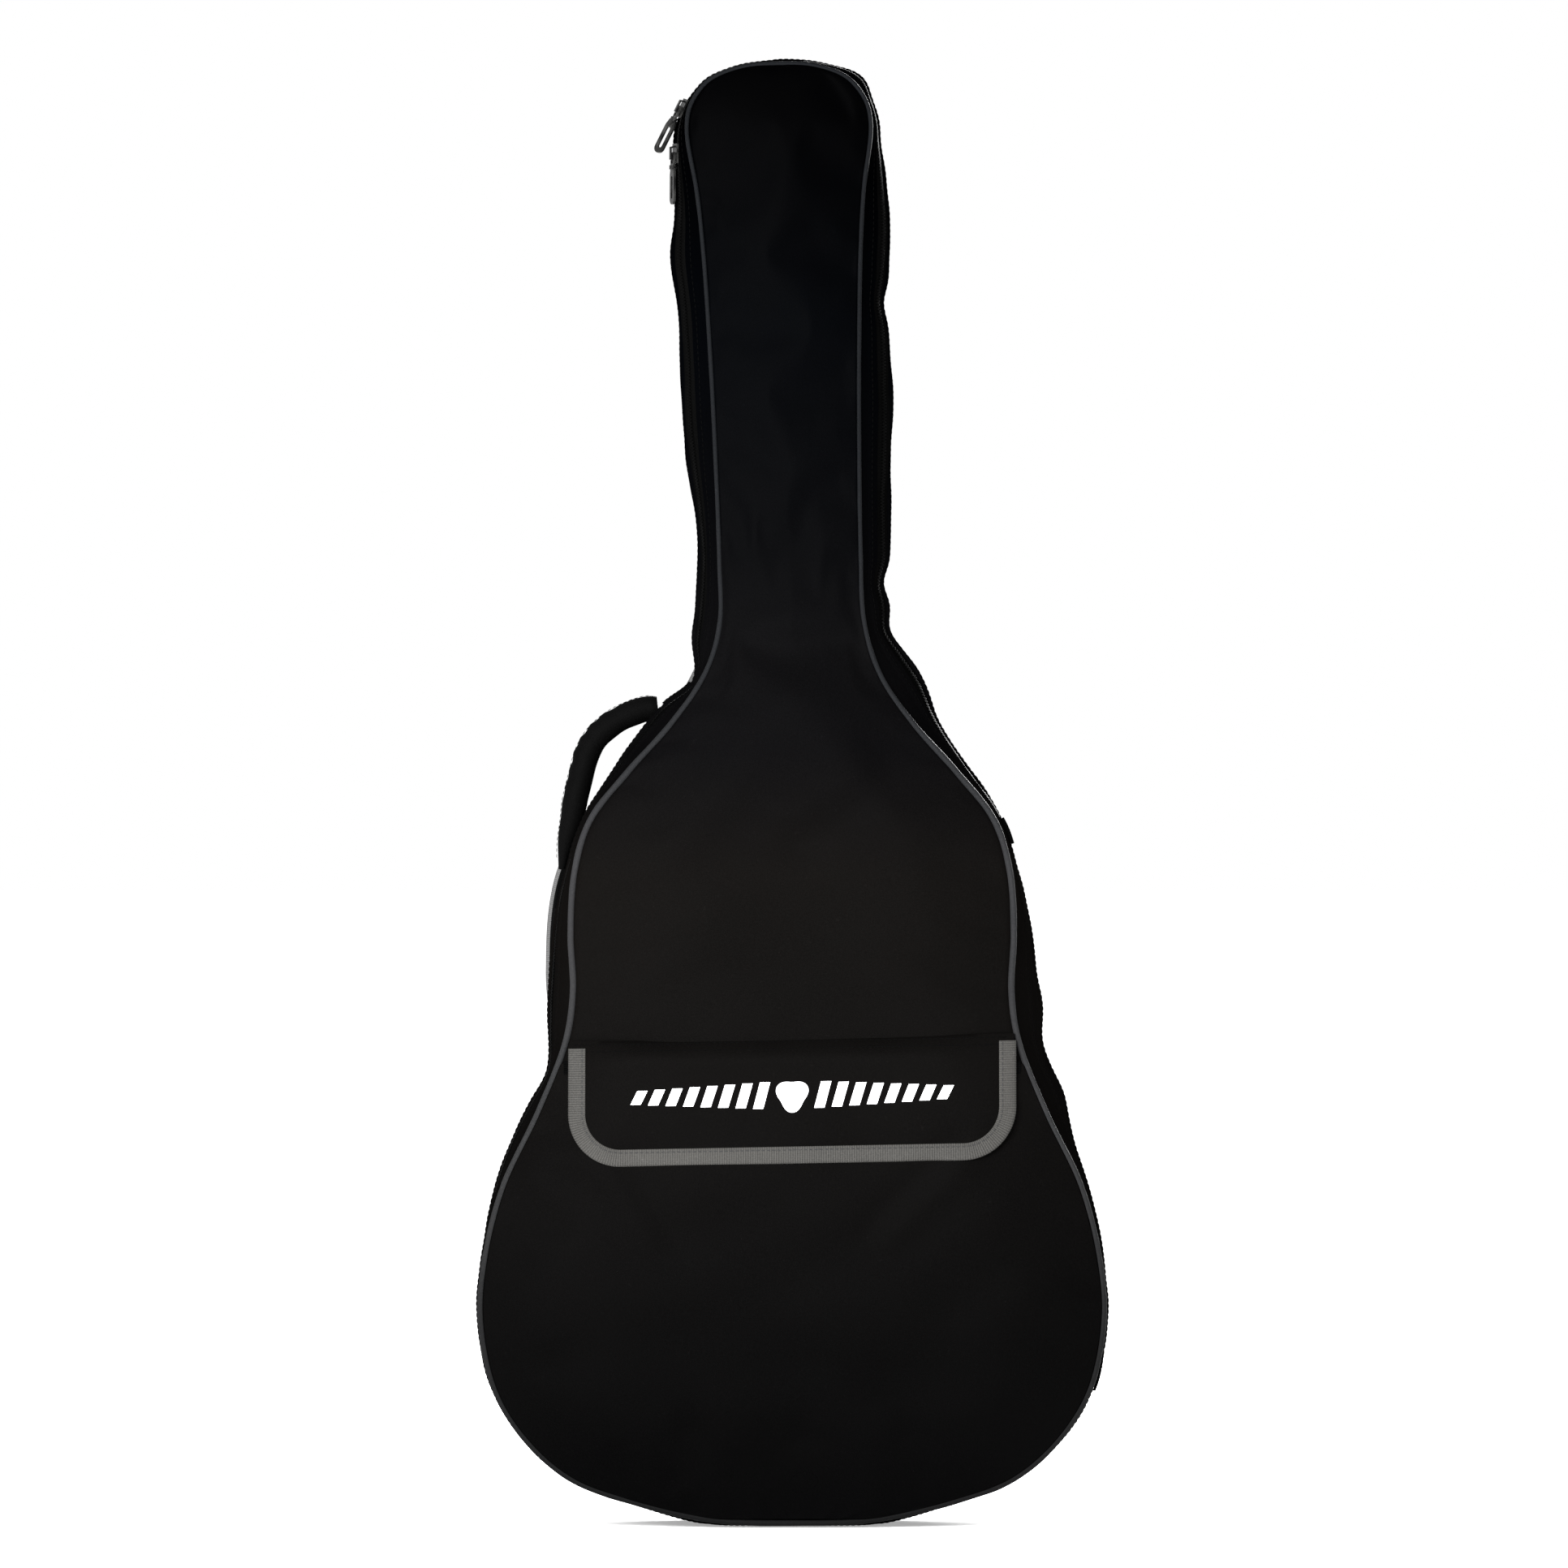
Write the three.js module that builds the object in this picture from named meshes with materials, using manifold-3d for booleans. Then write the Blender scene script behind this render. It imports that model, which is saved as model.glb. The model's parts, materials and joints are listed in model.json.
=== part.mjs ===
// A padded gig bag for a full-size acoustic guitar, standing on its end.
//
// Millimetres. +Z is up, -Y is the front (the pocket side), and the origin is the middle of the flat
// patch that the bag stands on. The bag is two padded shells that meet at a zip: the base (back panel
// and the deep half of the gusset) and the lid (front panel and the shallow half of the gusset). The
// lid swings about the stretch of gusset on the right that has no zip.
import * as THREE from "three";
import { mergeVertices } from "three/addons/utils/BufferGeometryUtils.js";
import Module from "manifold-3d";

const wasm = await Module();
wasm.setup();

// ---------------------------------------------------------------- driving dimensions

// The zip line, seen from the front, from the middle of the bottom to the middle of the top:
// [half width, height, bulge], where bulge is how far the zip line stands outside the piping.
const NECK_FOOT = [67.4, 700];
const NECK_TOP = [73.4, 1001];
const CORNER_RADIUS = 60;
const RIBS = [
  [0, -1.5, 5],
  [58, 0.4, 5.4],
  [119, 16.6, 3],
  [161, 32.6, 3],
  [193, 60, 3],
  [216.5, 97, 3],
  [227.3, 150, 3],
  [224.2, 194.5, 3],
  [212.8, 247.6, 5],
  [191.8, 303.2, 9.7],
  [176.4, 355, 14],
  [174, 387.4, 16],
  [171.4, 429, 11.8],
  [162, 476, 5.6],
  [150, 512.4, 5],
  [124.8, 550, 8.2],
  [96.4, 589, 13],
  [76, 622, 14.5],
  [68, 654, 16],
  [...NECK_FOOT, 16.4],
  ...[
    [0.25, 17],
    [0.5, 16.6],
    [0.74, 15],
    [0.88, 12.4],
    [1, 7.6],
  ].map(([share, bulge]) => [...alongNeck(share), bulge]),
  ...[
    [12, 5.8],
    [26, 3.5],
    [40, 2.6],
    [53, 2.6],
  ].map(([degrees, bulge]) => [...aroundCorner(degrees), bulge]),
  [27, 1057.1, 2.6],
  [0, 1059.2, 2.6],
];
const NECK_LEAN = 1.5; // degrees that the neck leans to the left
const LEAN_FROM = 600;
const LEAN_FULL = 690;
const LEAN_PIVOT = 640;

const FRONT_Y = { body: -54, neck: -40 }; // the front and back piping
const BACK_Y = { body: 58, neck: 42 };
const DEPTH_CHANGE = { from: 540, to: 700 }; // heights between which the depth goes from body to neck
const GUSSET_BENDS = [0.5, 0.8]; // shares of the depth where the gusset bends behind the zip
const ZIP_Y = -18;
const ZIP_TILT = THREE.MathUtils.degToRad(20); // how far the zip faces the front

const PIPING_RADIUS = 2.5;
const FABRIC = 1.2;
const PADDING = 5;
const LINING = 0.8;
const GAP = 0.4; // left between layers that touch
// The three layers of a shell: where each starts and ends, in from its outer face.
const LAYERS = {
  fabric: { from: 0, to: FABRIC },
  padding: { from: FABRIC + GAP, to: FABRIC + GAP + PADDING },
  lining: { from: FABRIC + 2 * GAP + PADDING, to: FABRIC + 2 * GAP + PADDING + LINING },
};
const PANEL_EDGE = PIPING_RADIUS + GAP; // how far inside the piping line a panel ends
const INSIDE_PANEL = LAYERS.lining.to + GAP; // where the gusset's padding ends, behind the panel's
const CROWN = { front: 9, back: 6, reach: 60 }; // how far a panel swells, and how far in it is full
const PANEL_COLUMNS = [-1, -0.82, -0.5, 0.5, 0.82, 1];
const END_ROW = 0.45; // how far along its first and last stretch a panel's outline starts and ends

const TAPE = { from: 3.4, to: 7.2, outer: 0.9, inner: 1.8 };
const COIL = { from: 0.8, to: 3, outer: 0.2, inner: 2.2 };
const SEAM_FROM_ZIP = 8; // the edges of the gusset
const ZIP_ENDS = { lower: 5, upper: 14 }; // ribs on the right between which there is no zip

const POCKET = { top: 336, bulge: 8, hem: 9 };
const FLAP_HEIGHTS = [300, 319, 336, 345, 352]; // rows of the flap above its round corners
const FLAP = { width: 322, top: 352, bottom: 262, corner: 38, thick: 1.6, offset: 1.1 };
const BINDING = { reach: 12, thick: 0.9, fold: 0.2 }; // fold is where its rear leaf ends, in from the edge

const SLIDER = { width: 10.4, lidSide: 4.2, length: 14, plate: 1.4, slotOut: 1.2, slotIn: 3.8 };
const BRIDGE = { width: 2.4, rise: 4, bar: 1.2 };
const SLIDER_LOWER_BELOW_CORNER = 6.5;
const SLIDER_UPPER_DEGREES = 25;
const PULL = { length: 37, width: 8.6, neckWidth: 6.2, thick: 1.6, axisHeight: 4 };
const EYE = { top: 0.8, holeTop: -0.8, holeFoot: -7.4, holeHalf: 1.9 }; // heights from the slider's bridge
const COLLAR = { top: -8.6, foot: -11.6, radius: 2.6 }; // the swivel between a pull's eye and its tab
const PULL_SLOT = { half: 1.7, overFoot: 1.5, underShoulder: 2.5 };
const PULL_TURNS = { lower: 0, upper: 32 }; // degrees that each tab is turned in its collar

const HANDLE = { y: 20, radius: 9.5, end: 6, foot: 3, webbing: 12, webbingThick: 2.4 };
const TAB = { reach: 12.5, thick: 1.6, lift: 1.3 }; // the webbing patches that hold the handle
const ANCHOR = { lift: 1.2, thick: 1.8 }; // those that hold the straps
const HANDLE_PATH = [
  [-101.5, 591.2],
  [-109, 590.6],
  [-123.6, 584.9],
  [-134.4, 578],
  [-143.2, 569.2],
  [-149.4, 557.8],
  [-153.6, 542.5],
  [-157.6, 526.4],
  [-161.2, 509],
  [-165.2, 492],
  [-167.5, 474],
];

const STRAP = { width: 58, thick: 9, webbing: 25, webbingThick: 1.8 };
const STRAP_PATHS = {
  left: [
    [-36, 62.5, 622],
    [-59, 72, 580],
    [-100, 82, 530],
    [-143, 90, 468],
    [-154, 94, 400],
    [-151, 90, 345],
  ],
  right: [
    [38, 62.5, 622],
    [62, 72, 580],
    [99, 82, 530],
    [131, 90, 468],
    [143, 94, 400],
    [144, 90, 345],
  ],
};
const STRAP_FOOT = { x: 128, y: 69.6, z: 138 };

// ---------------------------------------------------------------- the outline

function alongNeck(share) {
  return [0, 1].map((k) => THREE.MathUtils.lerp(NECK_FOOT[k], NECK_TOP[k], share));
}

// A point of the headstock's corner, a round stretch that starts where the neck's straight ends.
function aroundCorner(degrees) {
  const angle = THREE.MathUtils.degToRad(degrees);
  return [
    NECK_TOP[0] - CORNER_RADIUS * (1 - Math.cos(angle)),
    NECK_TOP[1] + CORNER_RADIUS * Math.sin(angle),
  ];
}

const ribLoop = [
  ...RIBS.map(([x, z, bulge]) => new THREE.Vector3(x, bulge, z)),
  ...RIBS.slice(1, -1)
    .reverse()
    .map(([x, z, bulge]) => new THREE.Vector3(-x, bulge, z)),
];
const loopCurve = new THREE.CatmullRomCurve3(ribLoop, true, "centripetal");
const STATIONS = ribLoop.length;
const TOP_STATION = RIBS.length - 1;

// One place on the zip line: its point, its outward normal and its bulge.
function stationAt(index) {
  const share = (((index % STATIONS) + STATIONS) % STATIONS) / STATIONS;
  const point = loopCurve.getPoint(share);
  const along = loopCurve.getTangent(share);
  const size = Math.hypot(along.x, along.z);
  return { x: point.x, z: point.z, bulge: point.y, nx: along.z / size, nz: -along.x / size };
}

const stations = ribLoop.map((_, index) => stationAt(index));

function depthShare(z) {
  return THREE.MathUtils.smoothstep(z, DEPTH_CHANGE.from, DEPTH_CHANGE.to);
}

function frontY(z) {
  return THREE.MathUtils.lerp(FRONT_Y.body, FRONT_Y.neck, depthShare(z));
}

function backY(z) {
  return THREE.MathUtils.lerp(BACK_Y.body, BACK_Y.neck, depthShare(z));
}

// The neck leans: everything above the shoulder turns about one point of the middle line.
function lean(point) {
  const degrees = NECK_LEAN * THREE.MathUtils.smoothstep(point.z, LEAN_FROM, LEAN_FULL);
  const angle = THREE.MathUtils.degToRad(degrees);
  const up = point.z - LEAN_PIVOT;
  return new THREE.Vector3(
    point.x * Math.cos(angle) - up * Math.sin(angle),
    point.y,
    LEAN_PIVOT + point.x * Math.sin(angle) + up * Math.cos(angle),
  );
}

// The depths at which the gusset bends. It is straight between them.
function bends(z) {
  const [front, back] = [frontY(z), backY(z)];
  const behindZip = GUSSET_BENDS.map((share) => THREE.MathUtils.lerp(front, back, share));
  return [front, front + INSIDE_PANEL, ZIP_Y, ...behindZip, back - INSIDE_PANEL, back];
}

// How far the gusset swells at a depth: a half wave from the front to the back.
function swell(z, y) {
  const [front, back] = [frontY(z), backY(z)];
  const wave = (at) => Math.sin((Math.PI * (at - front)) / (back - front));
  const places = bends(z);
  const next = Math.max(1, places.findIndex((place) => place >= y));
  const [from, to] = [places[next - 1], places[next]];
  return THREE.MathUtils.mapLinear(y, from, to, wave(from), wave(to)) / wave(ZIP_Y);
}

// A point of the gusset's outer skin at depth y, moved in by some distance.
function skin(station, y, inward = 0) {
  const out = station.bulge * (swell(station.z, y) - 1);
  const x = station.x + station.nx * out;
  const z = Math.max(0, station.z + station.nz * out);
  return lean(new THREE.Vector3(x - station.nx * inward, y, z - station.nz * inward));
}

// A point of the zip's own flat band: across it from the teeth, and in from its face.
function zipPoint(station, across, inward) {
  const out = across * Math.sin(ZIP_TILT) - inward * Math.cos(ZIP_TILT);
  const y = ZIP_Y + across * Math.cos(ZIP_TILT) + inward * Math.sin(ZIP_TILT);
  const lift = Math.max(0, COIL.outer - station.z - station.nz * out);
  return lean(
    new THREE.Vector3(station.x + station.nx * out, y, station.z + station.nz * out + lift),
  );
}

// The piping line, which the bulge is measured from, moved in by some distance.
function edgePoint(station, inset) {
  const back = station.bulge + inset;
  return { x: station.x - station.nx * back, z: station.z - station.nz * back };
}

const edgeLoop = stations.map((station) => edgePoint(station, 0));

function distanceToEdge(x, z) {
  let least = Infinity;
  edgeLoop.forEach((a, index) => {
    const b = edgeLoop[(index + 1) % edgeLoop.length];
    const size = (b.x - a.x) ** 2 + (b.z - a.z) ** 2;
    const along = ((x - a.x) * (b.x - a.x) + (z - a.z) * (b.z - a.z)) / size;
    const share = THREE.MathUtils.clamp(along, 0, 1);
    least = Math.min(least, Math.hypot(x - a.x - share * (b.x - a.x), z - a.z - share * (b.z - a.z)));
  });
  return least;
}

// 0 at the piping, and 1 from CROWN.reach inwards.
function fullness(x, z) {
  const share = Math.min(1, distanceToEdge(x, z) / CROWN.reach);
  return share * (2 - share);
}

// ---------------------------------------------------------------- solids

function meshOf(name, material, geometry) {
  const mesh = new THREE.Mesh(geometry, material);
  mesh.name = name;
  return mesh;
}

// A closed solid through a row of sections. Each section is a loop of points: a row on one face of the
// piece and the same row on the other face, backwards. Both faces are split into triangles the same way,
// so that layers with a small gap between them stay apart.
function loft(sections, closed) {
  const size = sections[0].length;
  const positions = sections.flat().flatMap((p) => [p.x, p.y, p.z]);
  const triangles = [];
  const quad = (a, b, c, d) => triangles.push([a, b, c], [a, c, d]);
  const mirroredQuad = (a, b, c, d) => triangles.push([a, b, d], [b, c, d]);
  const last = closed ? sections.length : sections.length - 1;
  for (let i = 0; i < last; i++) {
    const next = (i + 1) % sections.length;
    for (let j = 0; j < size; j++) {
      const k = (j + 1) % size;
      const split = j < size / 2 ? quad : mirroredQuad;
      split(i * size + j, i * size + k, next * size + k, next * size + j);
    }
  }
  if (!closed) {
    const end = (sections.length - 1) * size;
    for (let j = 0; j < size / 2 - 1; j++) {
      quad(j, size - 1 - j, size - 2 - j, j + 1);
      quad(end + j, end + j + 1, end + size - 2 - j, end + size - 1 - j);
    }
  }
  return outwards(positions, triangles);
}

// The geometry of the triangles, turned so that they face out.
function outwards(positions, triangles) {
  const at = (i) => new THREE.Vector3().fromArray(positions, 3 * i);
  const volume = triangles.reduce((sum, [a, b, c]) => sum + at(a).dot(at(b).cross(at(c))), 0);
  const index = triangles.flatMap(([a, b, c]) => (volume < 0 ? [a, c, b] : [a, b, c]));
  const geometry = new THREE.BufferGeometry();
  geometry.setAttribute("position", new THREE.Float32BufferAttribute(positions, 3));
  geometry.setIndex(index);
  return geometry;
}

function solidOf(geometry) {
  const bare = geometry.clone();
  bare.deleteAttribute("normal");
  bare.deleteAttribute("uv");
  const merged = mergeVertices(bare, 1e-4);
  return new wasm.Manifold(
    new wasm.Mesh({
      numProp: 3,
      vertProperties: merged.attributes.position.array,
      triVerts: new Uint32Array(merged.index.array),
    }),
  );
}

function geometryOf(solid) {
  const mesh = solid.getMesh();
  const geometry = new THREE.BufferGeometry();
  geometry.setAttribute("position", new THREE.Float32BufferAttribute(mesh.vertProperties, 3));
  geometry.setIndex(new THREE.BufferAttribute(mesh.triVerts, 1));
  return geometry;
}

function joined(...geometries) {
  return geometryOf(geometries.map(solidOf).reduce((all, one) => all.add(one)));
}

function cut(geometry, ...tools) {
  return geometryOf(tools.map(solidOf).reduce((rest, tool) => rest.subtract(tool), solidOf(geometry)));
}

function block(x, y, z, at = [0, 0, 0]) {
  return new THREE.BoxGeometry(x, y, z).translate(...at);
}

// A flat shape in a plane with the given thickness, centred on the plane.
function plate(shape, thickness, curveSegments = 6) {
  const options = { depth: thickness, bevelEnabled: false, curveSegments };
  return new THREE.ExtrudeGeometry(shape, options).translate(0, 0, -thickness / 2);
}

// ---------------------------------------------------------------- shells

// A band of the gusset between two depths, as one ring or as the stretch between two stations.
function band(depths, outer, inner, places = stations) {
  return loft(
    places.map((station) => {
      const ys = depths(station);
      return [
        ...ys.map((y) => skin(station, y, outer)),
        ...[...ys].reverse().map((y) => skin(station, y, inner)),
      ];
    }),
    places === stations,
  );
}

function spread(from, to, steps) {
  return Array.from({ length: steps + 1 }, (_, i) => THREE.MathUtils.lerp(from, to, i / steps));
}

// The depths of a band between two depths: its edges, and every bend of the gusset between them.
function bandDepths(station, from, to) {
  return [from, ...bends(station.z).filter((y) => y > from + 0.1 && y < to - 0.1), to];
}

const baseDepths = (end) => (station) =>
  bandDepths(station, ZIP_Y + SEAM_FROM_ZIP, backY(station.z) - end);
const lidDepths = (end) => (station) =>
  bandDepths(station, frontY(station.z) + end, ZIP_Y - SEAM_FROM_ZIP);

// The rows of a panel, bottom to top, each from the left edge to the right. The first and the last lie
// just inside the edge's two level stretches.
function panelRows(inset, top = Infinity) {
  const rows = stations.slice(0, TOP_STATION + 1).map((station) => edgePoint(station, inset));
  const between = (a, b) => ({
    x: THREE.MathUtils.lerp(a.x, b.x, END_ROW),
    z: THREE.MathUtils.lerp(a.z, b.z, END_ROW),
  });
  rows[0] = between(rows[0], rows[1]);
  rows[TOP_STATION] = between(rows[TOP_STATION], rows[TOP_STATION - 1]);
  return rows.filter((row) => row.z < top);
}

// A sheet over rows, between two surfaces y = f(x, z).
function sheet(rows, nearY, farY, columns = PANEL_COLUMNS) {
  const face = (row, share, surface) => {
    const x = share * row.x;
    return lean(new THREE.Vector3(x, surface(x, row.z), row.z));
  };
  return loft(
    rows.map((row) => [
      ...columns.map((share) => face(row, share, nearY)),
      ...[...columns].reverse().map((share) => face(row, share, farY)),
    ]),
    false,
  );
}

const frontFace = (x, z) => frontY(z) - CROWN.front * fullness(x, z) - FABRIC / 2;
const backFace = (x, z) => backY(z) + CROWN.back * fullness(x, z) + FABRIC / 2;

function panelLayer(face, inwards, { from, to }) {
  return sheet(
    panelRows(PANEL_EDGE),
    (x, z) => face(x, z) + inwards * from,
    (x, z) => face(x, z) + inwards * to,
  );
}

function piping(depthAt) {
  const sides = 6;
  return loft(
    stations.map((station) => {
      const centre = edgePoint(station, 0);
      return spread(0, 2 * Math.PI, sides)
        .slice(0, sides)
        .map((angle) => {
          const out = PIPING_RADIUS * Math.cos(angle);
          return lean(
            new THREE.Vector3(
              centre.x + station.nx * out,
              depthAt(station.z) + PIPING_RADIUS * Math.sin(angle),
              centre.z + station.nz * out,
            ),
          );
        });
    }),
    true,
  );
}

// ---------------------------------------------------------------- zip

// The stations of the zip, from its upper end on the right over the top and round to its lower end.
const zipStations = [
  ...stations.slice(ZIP_ENDS.upper),
  ...stations.slice(0, ZIP_ENDS.lower + 1),
];
// The stations of the stretch without a zip, which starts and ends just clear of the zip.
const hingeStations = [
  stationAt(ZIP_ENDS.lower + 0.03),
  ...stations.slice(ZIP_ENDS.lower + 1, ZIP_ENDS.upper),
  stationAt(ZIP_ENDS.upper - 0.03),
];

// The depths between the two gusset edges.
const acrossZip = (station) =>
  bandDepths(station, ZIP_Y - SEAM_FROM_ZIP + GAP, ZIP_Y + SEAM_FROM_ZIP - GAP);

// One side of the zip: side is -1 on the lid and 1 on the base.
function zipBand({ from, to, outer, inner }, side) {
  return loft(
    zipStations.map((station) => [
      zipPoint(station, side * from, outer),
      zipPoint(station, side * to, outer),
      zipPoint(station, side * to, inner),
      zipPoint(station, side * from, inner),
    ]),
    false,
  );
}

// A short cloth patch that covers one end of the zip.
function zipEndPatch(index, towards) {
  const places = [index + towards * 0.1, index + towards * 0.55].map(stationAt);
  return band(acrossZip, -2.2, -0.9, places);
}

// A slider in its own frame: +X out of the bag, +Z along the zip, and the teeth at the origin.
function sliderGeometry() {
  const { width, lidSide, length, plate: thick, slotOut, slotIn } = SLIDER;
  const side = width / 2;
  const outer = block(thick, side + lidSide, length, [slotOut + thick / 2, (lidSide - side) / 2, 0]);
  const inner = block(thick, width, length, [-slotIn - thick / 2, 0, 0]);
  const post = block(slotOut + slotIn + thick, 0.8, 4.4, [(slotOut - slotIn) / 2, 0, length / 2 - 2.2]);
  const { width: bridgeWidth, rise, bar } = BRIDGE;
  const foot = slotOut + thick - 0.2;
  const arch = new THREE.Shape();
  arch.moveTo(foot, -5.8);
  arch.lineTo(foot + rise, -4.6);
  arch.lineTo(foot + rise, 4.6);
  arch.lineTo(foot, 5.8);
  arch.lineTo(foot, 4.4);
  arch.lineTo(foot + rise - bar, 3.7);
  arch.lineTo(foot + rise - bar, -3.7);
  arch.lineTo(foot, -4.4);
  const bridge = plate(arch, bridgeWidth).rotateX(Math.PI / 2);
  return joined(outer, inner, post, bridge);
}

// The flat eye that hangs on a slider's bridge, down -Z from its bar at the origin.
function pullEye() {
  const { neckWidth, thick } = PULL;
  const { top, holeTop, holeFoot, holeHalf } = EYE;
  const side = neckWidth / 2;
  const insideCollar = COLLAR.top - 1;
  const eye = new THREE.Shape();
  eye.moveTo(-side, top);
  eye.lineTo(-side, insideCollar);
  eye.lineTo(side, insideCollar);
  eye.lineTo(side, top);
  const hole = new THREE.Path();
  hole.moveTo(-holeHalf, holeTop);
  hole.lineTo(holeHalf, holeTop);
  hole.lineTo(holeHalf, holeFoot);
  hole.lineTo(-holeHalf, holeFoot);
  eye.holes.push(hole);
  return plate(eye, thick);
}

// The long slotted tab below the collar.
function pullTab() {
  const { length, width, neckWidth, thick } = PULL;
  const foot = -length + width / 2;
  const shoulder = COLLAR.foot - 4;
  const tab = new THREE.Shape();
  tab.moveTo(-neckWidth / 2, COLLAR.foot + 1);
  tab.lineTo(-width / 2, shoulder);
  tab.lineTo(-width / 2, foot);
  tab.absarc(0, foot, width / 2, Math.PI, 2 * Math.PI, false);
  tab.lineTo(width / 2, shoulder);
  tab.lineTo(neckWidth / 2, COLLAR.foot + 1);
  const { half, overFoot, underShoulder } = PULL_SLOT;
  const slot = new THREE.Path();
  slot.absarc(0, foot + overFoot, half, Math.PI, 2 * Math.PI, false);
  slot.absarc(0, shoulder - underShoulder, half, 0, Math.PI, false);
  tab.holes.push(slot);
  return plate(tab, thick);
}

// A pull in its own frame, with its eye flat against +X and its tab turned in the collar.
function pullGeometry(turned) {
  const upright = (piece) => piece.rotateX(Math.PI / 2).rotateZ(Math.PI / 2);
  const { top, foot, radius } = COLLAR;
  const collar = new THREE.CylinderGeometry(radius, radius, top - foot, 12);
  collar.rotateX(Math.PI / 2).translate(0, 0, (top + foot) / 2);
  const tab = upright(pullTab()).rotateZ(THREE.MathUtils.degToRad(turned));
  return joined(upright(pullEye()), collar, tab);
}

// A group at a place on the left side of the zip, turned to that place's frame.
function zipSeat(point, degreesAroundCorner) {
  const seat = new THREE.Group();
  seat.position.copy(lean(new THREE.Vector3(-point[0], ZIP_Y, point[1])));
  const turn = THREE.MathUtils.degToRad(degreesAroundCorner + NECK_LEAN);
  const out = new THREE.Vector3(-Math.cos(turn), 0, Math.sin(turn));
  const along = new THREE.Vector3(out.z, 0, -out.x);
  out.multiplyScalar(Math.cos(ZIP_TILT)).add(new THREE.Vector3(0, -Math.sin(ZIP_TILT), 0));
  const across = new THREE.Vector3().crossVectors(along, out);
  seat.setRotationFromMatrix(new THREE.Matrix4().makeBasis(out, across, along));
  return seat;
}

// ---------------------------------------------------------------- pocket and flap

// How far the pocket stands in front of the front panel.
const pocketStand = (x, z) => FABRIC + GAP + POCKET.bulge * fullness(x, z) ** 2;
const pocketFace = (x, z) => frontFace(x, z) - pocketStand(x, z);

// The flap runs from the panel at its top edge out over the pocket's hem.
function flapFace(x, z) {
  const share = THREE.MathUtils.clamp((FLAP.top - z) / (FLAP.top - POCKET.top), 0, 1);
  const overHem = pocketFace(x, z) - FLAP.offset - 2;
  return THREE.MathUtils.lerp(frontFace(x, z) - FLAP.offset, overHem, share * (2 - share));
}

// Half the flap's width at a height, with its lower corners rounded.
function flapHalf(z, inset) {
  const corner = FLAP.corner - inset;
  const below = FLAP.bottom + FLAP.corner - z;
  const half = FLAP.width / 2 - inset;
  return below <= 0 ? half : half - corner + Math.sqrt(Math.max(0, corner ** 2 - below ** 2));
}

function flapSheet(inset, bottom) {
  const heights = [bottom, bottom + 2, bottom + 8, bottom + 18, ...FLAP_HEIGHTS];
  const rows = heights.map((z) => ({ x: flapHalf(z, inset), z }));
  return sheet(rows, (x, z) => flapFace(x, z) - FLAP.thick, flapFace, spread(-1, 1, 8));
}

// The binding is a tape folded over the flap's free edge: both sides and the bottom.
function flapBinding() {
  const { reach, thick, fold } = BINDING;
  const places = [];
  const half = FLAP.width / 2;
  const straight = FLAP_HEIGHTS.slice(1).reverse().map((z) => [half, z, 1, 0]);
  const bend = spread(0, Math.PI / 2, 5).map((angle) => [
    half - FLAP.corner + FLAP.corner * Math.cos(angle),
    FLAP.bottom + FLAP.corner - FLAP.corner * Math.sin(angle),
    Math.cos(angle),
    -Math.sin(angle),
  ]);
  const level = [90, 45].map((x) => [x, FLAP.bottom, 0, -1]);
  const right = [...straight, ...bend, ...level];
  places.push(...right, [0, FLAP.bottom, 0, -1]);
  places.push(...[...right].reverse().map(([x, z, nx, nz]) => [-x, z, -nx, nz]));
  const faceY = (p) => flapFace(p[0], Math.max(p[1], FLAP.bottom));
  return loft(
    places.map((place) => {
      const [x, z, nx, nz] = place;
      const at = (inset, y) => new THREE.Vector3(x - nx * inset, y, z - nz * inset);
      const front = faceY(place) - FLAP.thick - GAP;
      const innerFace = faceY([x - nx * reach, z - nz * reach]) - FLAP.thick - GAP;
      return [
        at(reach, innerFace - thick),
        at(0, front - thick),
        at(0, faceY(place)),
        at(fold, faceY(place)),
        at(fold, front),
        at(reach, innerFace),
      ];
    }),
    false,
  );
}

function patch(x, z, width, height, surface, out) {
  const rows = [z - height / 2, z + height / 2];
  const face = (px, pz, lift) => new THREE.Vector3(px, surface(px, pz) + lift, pz);
  const xs = spread(x - width / 2, x + width / 2, 2);
  return loft(
    rows.map((pz) => [
      ...xs.map((px) => face(px, pz, out[0])),
      ...[...xs].reverse().map((px) => face(px, pz, out[1])),
    ]),
    false,
  );
}

// ---------------------------------------------------------------- swept soft parts

// A round tube through points that lie at one depth.
function tube(points, radiusAt, sides) {
  const curve = new THREE.CatmullRomCurve3(points, false, "centripetal");
  const steps = (points.length - 1) * 2;
  return loft(
    spread(0, 1, steps).map((share) => {
      const centre = curve.getPoint(share);
      const along = curve.getTangent(share);
      const across = DEPTHWISE.clone().cross(along).normalize();
      const radius = radiusAt(share);
      return spread(0, 2 * Math.PI, sides)
        .slice(0, sides)
        .map((angle) =>
          centre
            .clone()
            .addScaledVector(across, radius * Math.cos(angle + Math.PI / sides))
            .addScaledVector(DEPTHWISE, radius * Math.sin(angle + Math.PI / sides)),
        );
    }),
    false,
  );
}

const DEPTHWISE = new THREE.Vector3(0, 1, 0);

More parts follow.
